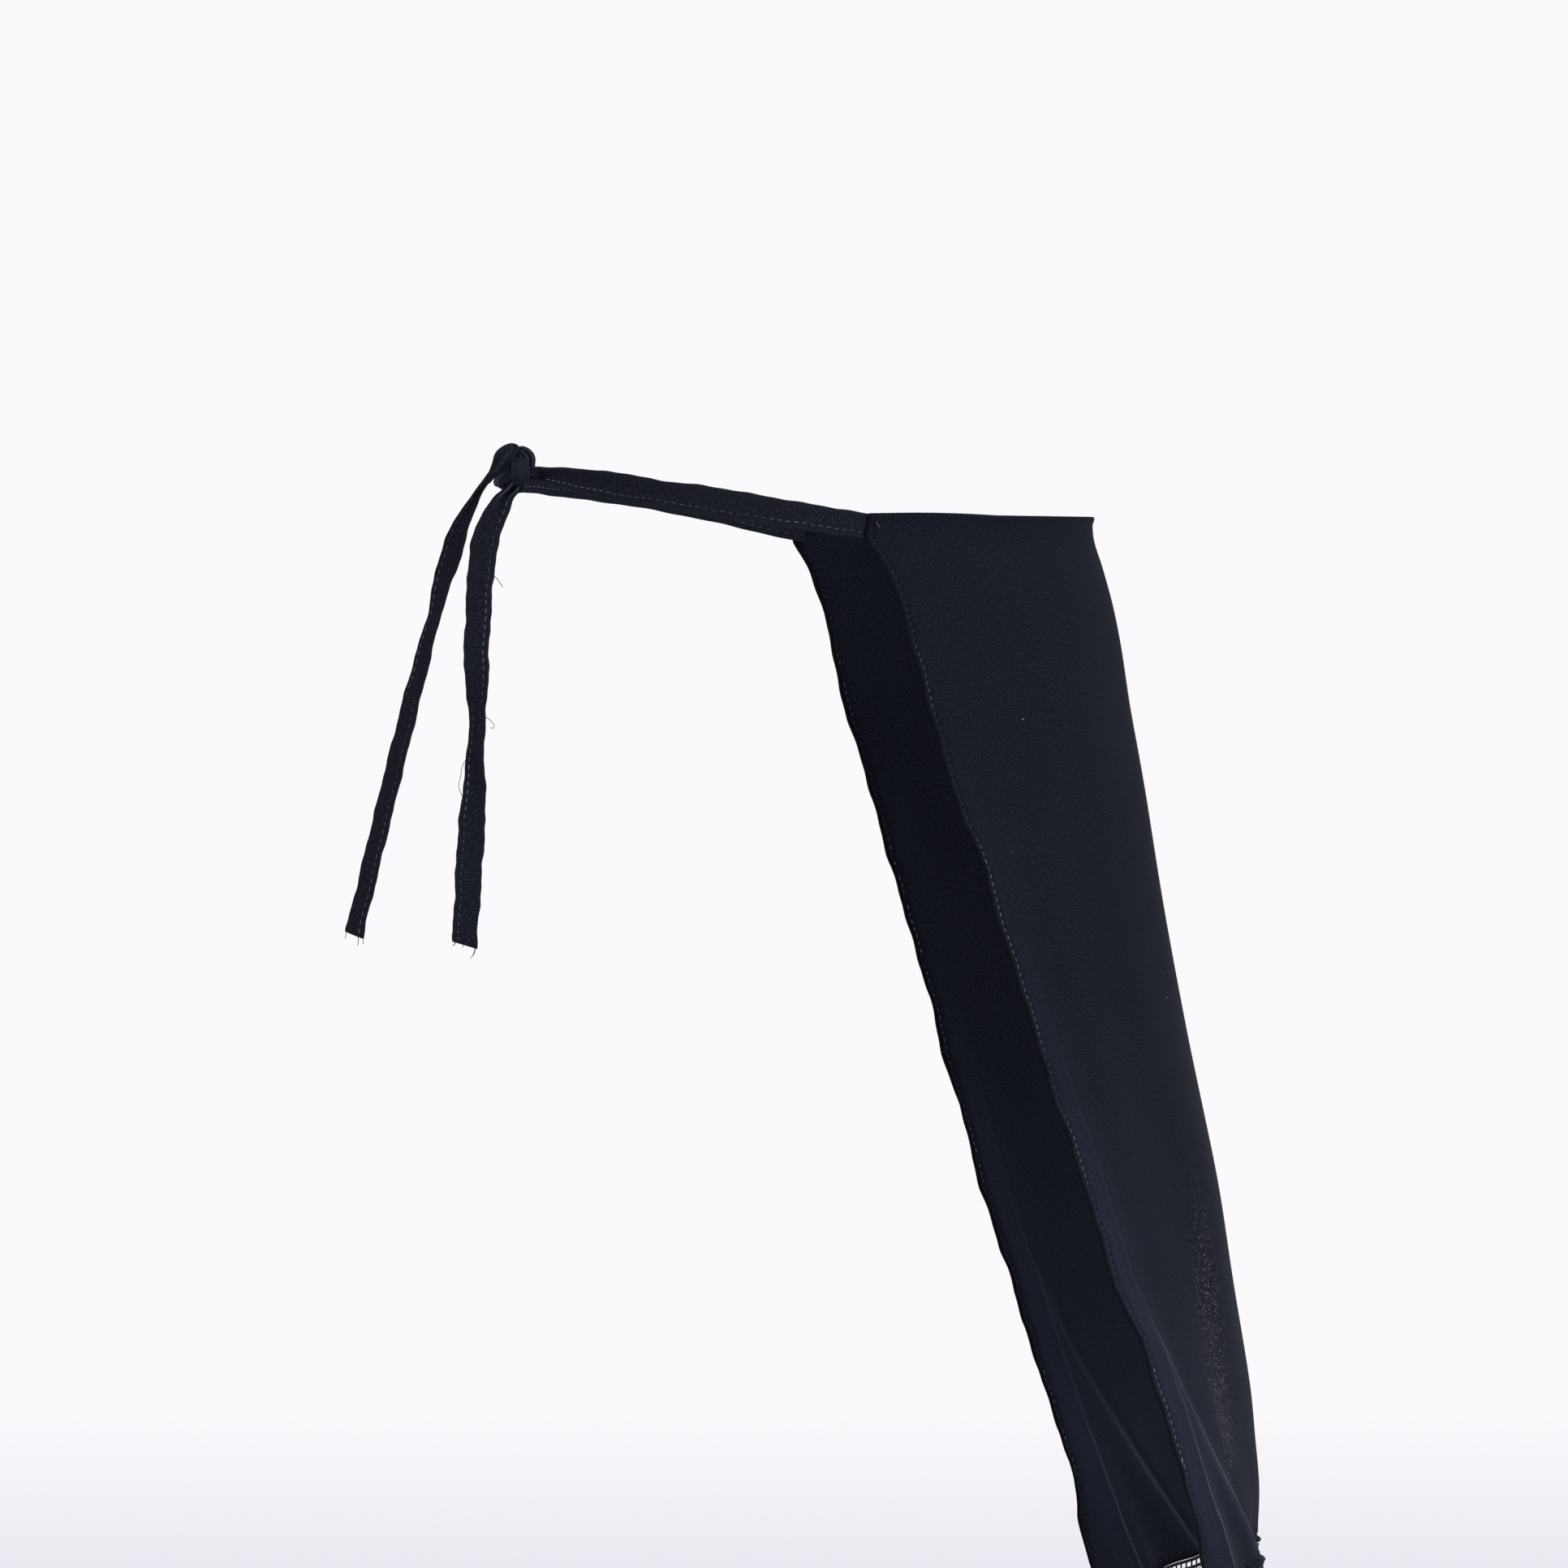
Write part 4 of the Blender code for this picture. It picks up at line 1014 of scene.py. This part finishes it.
# right, up and out are shares of the knot's size, as seen on its face. wide and thick are full sizes.
Turn = namedtuple("Turn", "along right up out wide_mm thick_mm crease_mm pleat_mm pleats")
KNOT_STRAPS = {
    "top_loop": [
        Turn(0.00, 0.05, 0.58, -0.02, 3.0, 2.2, 0.0, 0.0, 1),
        Turn(0.14, -0.05, 0.605, 0.05, 5.6, 2.8, 0.0, 0.15, 2),
        Turn(0.40, -0.25, 0.44, 0.04, 8.2, 3.8, 0.0, 0.30, 2),
        Turn(0.62, -0.385, 0.25, -0.08, 6.2, 3.4, 0.0, 0.30, 2),
        Turn(0.82, -0.55, 0.06, -0.30, 3.3, 2.6, 0.0, 0.15, 2),
        Turn(1.00, -0.67, -0.08, -0.46, 2.9, 2.4, 0.0, 0.0, 1),
    ],
    "pleated_turn": [
        Turn(0.00, -0.01, 0.60, 0.00, 2.4, 2.0, 0.0, 0.0, 3),
        Turn(0.22, 0.15, 0.575, 0.06, 4.6, 2.6, 0.0, 0.40, 3),
        Turn(0.50, 0.265, 0.40, 0.10, 6.0, 3.0, 0.0, 0.60, 3),
        Turn(0.78, 0.255, 0.22, 0.10, 5.2, 2.8, 0.0, 0.45, 3),
        Turn(1.00, 0.16, 0.06, 0.06, 3.6, 2.4, 0.0, 0.2, 3),
    ],
    "middle_band": [
        Turn(0.00, 0.05, 0.42, 0.04, 4.4, 2.0, 0.0, 0.0, 1),
        Turn(0.25, 0.08, 0.30, 0.26, 6.2, 2.6, 0.0, 0.10, 1),
        Turn(0.55, 0.11, 0.10, 0.34, 7.0, 3.0, 0.0, 0.16, 1),
        Turn(0.80, 0.10, -0.07, 0.27, 6.2, 2.6, 0.0, 0.10, 1),
        Turn(1.00, 0.06, -0.19, 0.06, 4.4, 2.0, 0.0, 0.0, 1),
    ],
    "run_in": [
        Turn(0.00, 0.66, 0.05, 0.36, 4.8, 1.8, 0.8, 0.0, 0),
        Turn(0.35, 0.46, 0.07, 0.27, 4.9, 2.0, 1.2, 0.2, 2),
        Turn(0.70, 0.24, 0.08, 0.20, 4.8, 2.6, 1.0, 0.3, 2),
        Turn(1.00, 0.04, 0.02, 0.16, 4.0, 2.4, 0.4, 0.2, 2),
    ],
    "under_turn": [
        Turn(0.00, -0.05, 0.04, -0.02, 3.6, 2.6, 0.0, 0.0, 1),
        Turn(0.35, -0.20, -0.02, -0.16, 3.4, 2.4, 0.0, 0.2, 1),
        Turn(0.62, -0.30, -0.11, -0.32, 2.9, 2.0, 0.0, 0.2, 1),
        Turn(0.82, -0.28, -0.20, -0.40, 2.7, 2.0, 0.0, 0.1, 1),
        Turn(1.00, -0.14, -0.26, -0.30, 2.7, 2.0, 0.0, 0.0, 1),
    ],
    "link": [
        Turn(0.00, 0.02, 0.10, -0.10, 5.2, 2.8, 0.0, 0.0, 0),
        Turn(0.50, -0.03, 0.10, -0.42, 5.0, 2.2, 0.3, 0.1, 2),
        Turn(1.00, -0.09, 0.10, -0.76, 4.8, 1.5, 0.6, 0.0, 2),
    ],
    "heart": [
        Turn(0.00, -0.01, 0.50, -0.22, 4.0, 3.0, 0.0, 0.0, 0),
        Turn(0.50, 0.01, 0.30, -0.18, 6.8, 4.4, 0.0, 0.0, 0),
        Turn(1.00, 0.03, -0.10, -0.06, 5.4, 4.4, 0.0, 0.0, 0),
    ],
}
KNOT_ROUND = 44
KNOT_STEPS = 44


def knot_spot(right, up, out):
    """A point of the knot, at shares of its size to the right of, above and out of its middle."""
    return KNOT_CENTRE + KNOT_SIZE * (right * KNOT_RIGHT + up * Vector((0.0, 0.0, 1.0)) + out * KNOT_FACE)


def knot_strap(turns, share):
    """The cross-section of one turn of the knot, square to its path and facing out of the knot."""
    read = {column: through(turns, "along", column, share) for column in Turn._fields[1:]}
    near, far = max(0.0, share - 0.02), min(1.0, share + 0.02)
    path = [
        knot_spot(*(through(turns, "along", column, at) for column in ("right", "up", "out")))
        for at in (near, far)
    ]
    along = (path[1] - path[0]).normalized()
    edge = KNOT_FACE.cross(along).normalized()
    face = along.cross(edge).normalized()
    return Strap(
        knot_spot(read["right"], read["up"], read["out"]), edge, face, read["wide_mm"] / 2000,
        read["thick_mm"] / 2000, read["crease_mm"] / 1000, read["pleat_mm"] / 1000, read["pleats"],
    )


# The crepe of the ties again, painted paler for the light that the knot's bunched turns catch.
knot_cloth = crepe("Knot crepe", dark="#0d0e16", light="#12141d", yarn_light="#252936", painted_light_tone="#424753")
knot_turns = [
    roll_strap(
        "knot_" + name, KNOT_STEPS, lambda share: knot_strap(turns, share), KNOT_SIZE, knot_cloth, KNOT_ROUND
    )
    for name, turns in KNOT_STRAPS.items()
]
bpy.ops.object.select_all(action="DESELECT")
for turn in knot_turns:
    turn.select_set(True)
bpy.context.view_layer.objects.active = knot_turns[0]
bpy.ops.object.join()
knot = bpy.context.object
knot.name = "knot_folds"
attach(knot, "root")
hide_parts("knot")

# The tails: the free ends of the ties. They leave the knot pinched and creased, hang flat, and end in a raw
# cut. The right one has half a twist, so its stitches change sides.
TAIL_LENGTH = 0.1681
CUT_SLANT = 0.30
CUT_REACH = 0.035
TAIL_STEPS = 130
TWIST_AT = 0.49
UPPER_STITCH_ANGLE = math.radians(118)
LOWER_STITCH_ANGLE = math.radians(62)
ROOT_PLEAT = -0.0006
ROOT_PLEAT_RUN = 0.05
# down is a share of the tail's length, back and left of its run and drift, and width and crease of a tie's.
Hang = namedtuple("Hang", "down back left width turn crease")
RIGHT_HANGS = [
    Hang(-0.030, -0.12, -0.02, 0.52, -64, 1.0),
    Hang(0.000, 0.06, 0.00, 0.72, -66, 1.0),
    Hang(0.012, 0.18, 0.02, 0.78, -67, 1.0),
    Hang(0.036, 0.31, 0.06, 0.88, -70, 0.8),
    Hang(0.095, 0.52, 0.14, 1.00, -78, 0.4),
    Hang(0.150, 0.62, 0.25, 0.97, -82, 0.2),
    Hang(0.240, 0.69, 0.38, 0.92, -84, 0.1),
    Hang(0.400, 0.75, 0.52, 0.88, -72, 0.2),
    Hang(0.490, 0.72, 0.60, 0.82, -36, 0.4),
    Hang(0.560, 0.76, 0.68, 0.84, -34, 0.4),
    Hang(0.650, 0.80, 0.76, 0.90, -52, 0.2),
    Hang(0.760, 0.87, 0.84, 0.96, -78, 0.1),
    Hang(1.000, 1.00, 1.00, 0.88, -84, 0.0),
]
LEFT_HANGS = [
    Hang(-0.020, -0.04, -0.10, 0.28, -38, 1.0),
    Hang(0.000, 0.00, 0.00, 0.30, -38, 1.0),
    Hang(0.030, 0.06, 0.18, 0.42, -40, 0.9),
    Hang(0.090, 0.16, 0.42, 0.74, -46, 0.5),
    Hang(0.170, 0.25, 0.56, 0.92, -48, 0.2),
    Hang(0.230, 0.31, 0.62, 0.84, -40, 0.2),
    Hang(0.300, 0.37, 0.66, 0.74, -30, 0.3),
    Hang(0.400, 0.47, 0.72, 0.86, -32, 0.1),
    Hang(0.600, 0.65, 0.84, 0.92, -34, 0.0),
    Hang(1.000, 1.00, 1.00, 0.90, -36, 0.0),
]
Tail = namedtuple("Tail", "hangs root run drift")
RIGHT_TAIL = Tail(RIGHT_HANGS, knot_spot(0.00, -0.305, 0.06), 0.0210, -0.0100)
LEFT_TAIL = Tail(LEFT_HANGS, knot_spot(-0.64, -0.075, -0.47), 0.0450, 0.0320)


def tail_strap(tail, share):
    """The tail's cross-section at a share of its length from the knot. Its cut end runs aslant."""
    down = tail.hangs[0].down + (1 - tail.hangs[0].down) * share
    read = {column: through(tail.hangs, "down", column, down) for column in Hang._fields[1:]}
    heading = math.radians(read["turn"])
    middle = tail.root + Vector((tail.drift * read["left"], tail.run * read["back"], -TAIL_LENGTH * down))
    # It isn't quite straight, and its stitches pull its edges in a little here and there.
    middle += Vector((0.00025 * math.sin(41 * share), 0.0002 * math.sin(53 * share + 1), 0.0))
    pulled = 1 + 0.025 * math.sin(97 * share) + 0.02 * math.sin(171 * share + 2)
    slant = CUT_SLANT * max(0.0, 1 - (1 - down) / CUT_REACH)
    return Strap(
        middle,
        Vector((math.cos(heading), -math.sin(heading), slant)),
        Vector((math.sin(heading), math.cos(heading), 0.0)),
        TIE_WIDTH / 2 * read["width"] * pulled, TIE_THICK / 2, TIE_CREASE * read["crease"],
        ROOT_PLEAT * max(0.0, 1 - down / ROOT_PLEAT_RUN), 2,
    )


tail_seats = []
for name, tail in (("tail_strap_right", RIGHT_TAIL), ("tail_strap_left", LEFT_TAIL)):
    at = lambda share: tail_strap(tail, share)
    hung = roll_strap(name, TAIL_STEPS, at, TAIL_LENGTH, tie_cloth)
    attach(hung, "root")
    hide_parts(name.replace("_strap", ""))
    stitches = int(TAIL_LENGTH * 1000 / STITCH_PITCH_MM)
    for face_side in (1, -1):
        for k in range(3, stitches):
            upper = (k < TWIST_AT * stitches) == (tail is RIGHT_TAIL)
            angle = (UPPER_STITCH_ANGLE if upper else LOWER_STITCH_ANGLE) * face_side
            ends = [strap_spot(at((k + part) / stitches), angle) for part in (0, stitch_share)]
            tail_seats.append((*ends, at(k / stitches).face * face_side))
tail_stitches = sew("tail_stitches", tail_seats, tie_thread)
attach(tail_stitches, "root")

# The loose yarns: pulled loops and short ends at the raw cuts of the tails. Each lies along a tail and is
# caught in it where it starts. down is a share of the tail, across a share of its half width.
Yarn = namedtuple("Yarn", "down across out_mm")
RIGHT_YARNS = [
    [Yarn(0.586, 0.95, 0.3), Yarn(0.600, 1.30, 0.4), Yarn(0.620, 1.50, 0.5), Yarn(0.645, 1.48, 0.5),
     Yarn(0.662, 1.28, 0.4), Yarn(0.676, 0.95, 0.3)],
    [Yarn(0.480, 0.50, 0.7), Yarn(0.495, -0.40, 0.9), Yarn(0.506, -1.30, 0.8), Yarn(0.516, -1.85, 0.5),
     Yarn(0.523, -1.80, 0.3), Yarn(0.522, -1.45, 0.3)],
    [Yarn(0.186, -0.85, 0.4), Yarn(0.196, -1.25, 0.6), Yarn(0.213, -1.85, 0.9)],
    [Yarn(0.985, 0.75, 0.2), Yarn(1.001, 0.80, 0.3), Yarn(1.008, 1.00, 0.4)],
    [Yarn(0.987, 0.72, 0.1), Yarn(1.002, 0.76, 0.2), Yarn(1.009, 0.92, 0.2)],
    [Yarn(0.990, -0.84, 0.2), Yarn(1.008, -0.80, 0.4), Yarn(1.018, -0.64, 0.7), Yarn(1.024, -0.44, 0.7)],
    [Yarn(0.990, -0.80, 0.1), Yarn(1.007, -0.76, 0.2), Yarn(1.016, -0.62, 0.5)],
    [Yarn(0.990, 0.15, 0.1), Yarn(1.003, 0.12, 0.2), Yarn(1.006, 0.20, 0.2)],
]
LEFT_YARNS = [
    [Yarn(0.990, 0.85, 0.1), Yarn(1.008, 0.95, 0.2), Yarn(1.016, 1.05, 0.2)],
    [Yarn(0.990, -0.35, 0.1), Yarn(1.011, -0.40, 0.2), Yarn(1.020, -0.30, 0.2)],
    [Yarn(0.990, -0.85, 0.1), Yarn(1.006, -0.95, 0.2), Yarn(1.012, -0.90, 0.2)],
]
YARN_MM = 0.13
YARN_STEPS = 5


def lay_yarn(yarns, tail):
    """A loose yarn as a smooth line of (place, radius in millimetres) points beside its tail."""
    line = []
    knots = [Vector((yarn.down, yarn.across, yarn.out_mm)) for yarn in yarns]
    for k in range((len(knots) - 1) * YARN_STEPS + 1):
        i = min(k // YARN_STEPS, len(knots) - 2)
        u = k / YARN_STEPS - i
        before, a, b, after = knots[max(i - 1, 0)], knots[i], knots[i + 1], knots[min(i + 2, len(knots) - 1)]
        way = a + (b - a) * u + ((b - before) * (1 - u) - (after - a) * u) * (u * (1 - u) * 0.5)
        down, across, out_mm = way - (b - a) * (u * (1 - u) * (0.5 - u))
        strap = tail_strap(tail, (min(down, 1.0) - tail.hangs[0].down) / (1 - tail.hangs[0].down))
        place = strap.middle + strap.edge * (strap.half_wide * across) + strap.face * (-out_mm / 1000)
        place.z -= TAIL_LENGTH * max(0.0, down - 1.0)
        line.append((place, YARN_MM))
    return line


yarn_lines = [lay_yarn(yarns, RIGHT_TAIL) for yarns in RIGHT_YARNS]
yarn_lines += [lay_yarn(yarns, LEFT_TAIL) for yarns in LEFT_YARNS]
loose_yarns = spin_threads("loose_yarns", yarn_lines, 0, thread_colour("Crepe yarn", "#141620", "#232732"))
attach(loose_yarns, "root")

# The lint: a few pale fibres caught on the veil's hem and outer face, and a cut thread end at a top
# corner. Each is short, a little bent, and lies flat on the cloth. heading is in degrees from across it.
Fibre = namedtuple("Fibre", "across drop long_mm heading")
FIBRES = [
    Fibre(-0.988, 0.8530, 2.2, 70), Fibre(-0.984, 0.8560, 1.4, 10), Fibre(-0.986, 0.8500, 1.2, 130),
    Fibre(-0.980, 0.7720, 1.2, 80), Fibre(-0.658, 0.1940, 0.9, 150), Fibre(-0.864, 0.3110, 0.8, 30),
    Fibre(-0.968, 0.0090, 1.3, 60), Fibre(-0.962, 0.0120, 0.9, 120), Fibre(0.700, 0.4200, 0.9, 20),
    Fibre(0.350, 0.6600, 0.8, 110), Fibre(-0.300, 0.4700, 0.7, 75), Fibre(0.981, 0.7900, 1.4, 95),
]
FIBRE_MM = 0.10
FIBRE_BEND = 0.25
FIBRE_STEPS = 5
fibre_lines = []
for fibre in FIBRES:
    heading = math.radians(fibre.heading)
    line = []
    for k in range(FIBRE_STEPS + 1):
        part = k / FIBRE_STEPS
        reach = fibre.long_mm * (part - 0.5)
        bend = FIBRE_BEND * fibre.long_mm * math.sin(math.pi * part)
        aside_mm = reach * math.cos(heading) - bend * math.sin(heading)
        down_by_mm = reach * math.sin(heading) + bend * math.cos(heading)
        place, _ = veil_spot(
            fibre.across + aside_mm / HALF_CLOTH_MM, fibre.drop + down_by_mm / VEIL_LONG_MM, FIBRE_MM / 1000
        )
        line.append((place, FIBRE_MM))
    fibre_lines.append(line)
lint = spin_threads("lint", fibre_lines, 0, thread_colour("Lint", "#6a6f7b", "#a4a8b1"))
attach(lint, "root")

# The floor: a plain pale studio floor of matt paper, well below the part, which is held at its opening. It
# carries a painted shadow, darker under the part, is painted a shade darker again further out, and is white
# between, so that no horizon shows.
FLOOR_LEVEL = -0.62
FLOOR_SIZE = 48.0
FLOOR_SHADOW_TONES = [
    (0.00, "#cfcfd5"), (0.12, "#e8e8ed"), (0.38, "#ffffff"), (0.46, "#ffffff"), (0.64, "#eeeef3"),
    (0.999, "#ffffff"),
]
bpy.ops.mesh.primitive_plane_add(size=FLOOR_SIZE, location=(0.0, 0.0, FLOOR_LEVEL))
floor = bpy.context.object
floor.name = "studio_floor"
paper = bpy.data.materials.new("Matt white paper")
paper.use_nodes = True
spot = add_node(paper, "ShaderNodeTexCoord")
reach = add_node(paper, "ShaderNodeVectorMath", links={0: (spot, "Object")}, operation="LENGTH")
share = add_node(
    paper, "ShaderNodeMapRange", {"From Min": 0.0, "From Max": FLOOR_SIZE / 2}, {"Value": (reach, "Value")}
)
shadow_tones = add_node(paper, "ShaderNodeValToRGB", links={"Fac": (share, "Result")})
stops = shadow_tones.color_ramp.elements
for place, colour in FLOOR_SHADOW_TONES:
    stop = stops.new(place) if place else stops[0]
    stop.color = linear(colour)
shader = paper.node_tree.nodes["Principled BSDF"]
shader.inputs["Roughness"].default_value = 0.9
shader.inputs["Specular IOR Level"].default_value = 0.0
paper.node_tree.links.new(shadow_tones.outputs["Color"], shader.inputs["Base Color"])
floor.data.materials.append(paper)

# The light: an even white room, with a large soft lamp to the right of the camera that lights the outer
# face of the veil, and a weak one that comes from behind the knot.
room = bpy.data.worlds.new("White room")
room.use_nodes = True
room.node_tree.nodes["Background"].inputs["Color"].default_value = linear("#fafafd")
room.node_tree.nodes["Background"].inputs["Strength"].default_value = 1.0
bpy.context.scene.world = room
bpy.context.scene.view_settings.view_transform = "Standard"


def soft_lamp(name, place, width, power):
    """A square area lamp that looks at the middle of the veil."""
    bpy.ops.object.light_add(type="AREA", location=place)
    lamp = bpy.context.object
    lamp.name = name
    lamp.data.size = width
    lamp.data.energy = power
    lamp.rotation_euler = (aim - Vector(place)).to_track_quat("-Z", "Y").to_euler()


soft_lamp("lamp_back", (-1.5, 2.2, 1.0), 1.2, 9)
soft_lamp("lamp_front", (-2.0, -1.7, 1.3), 1.1, 52)
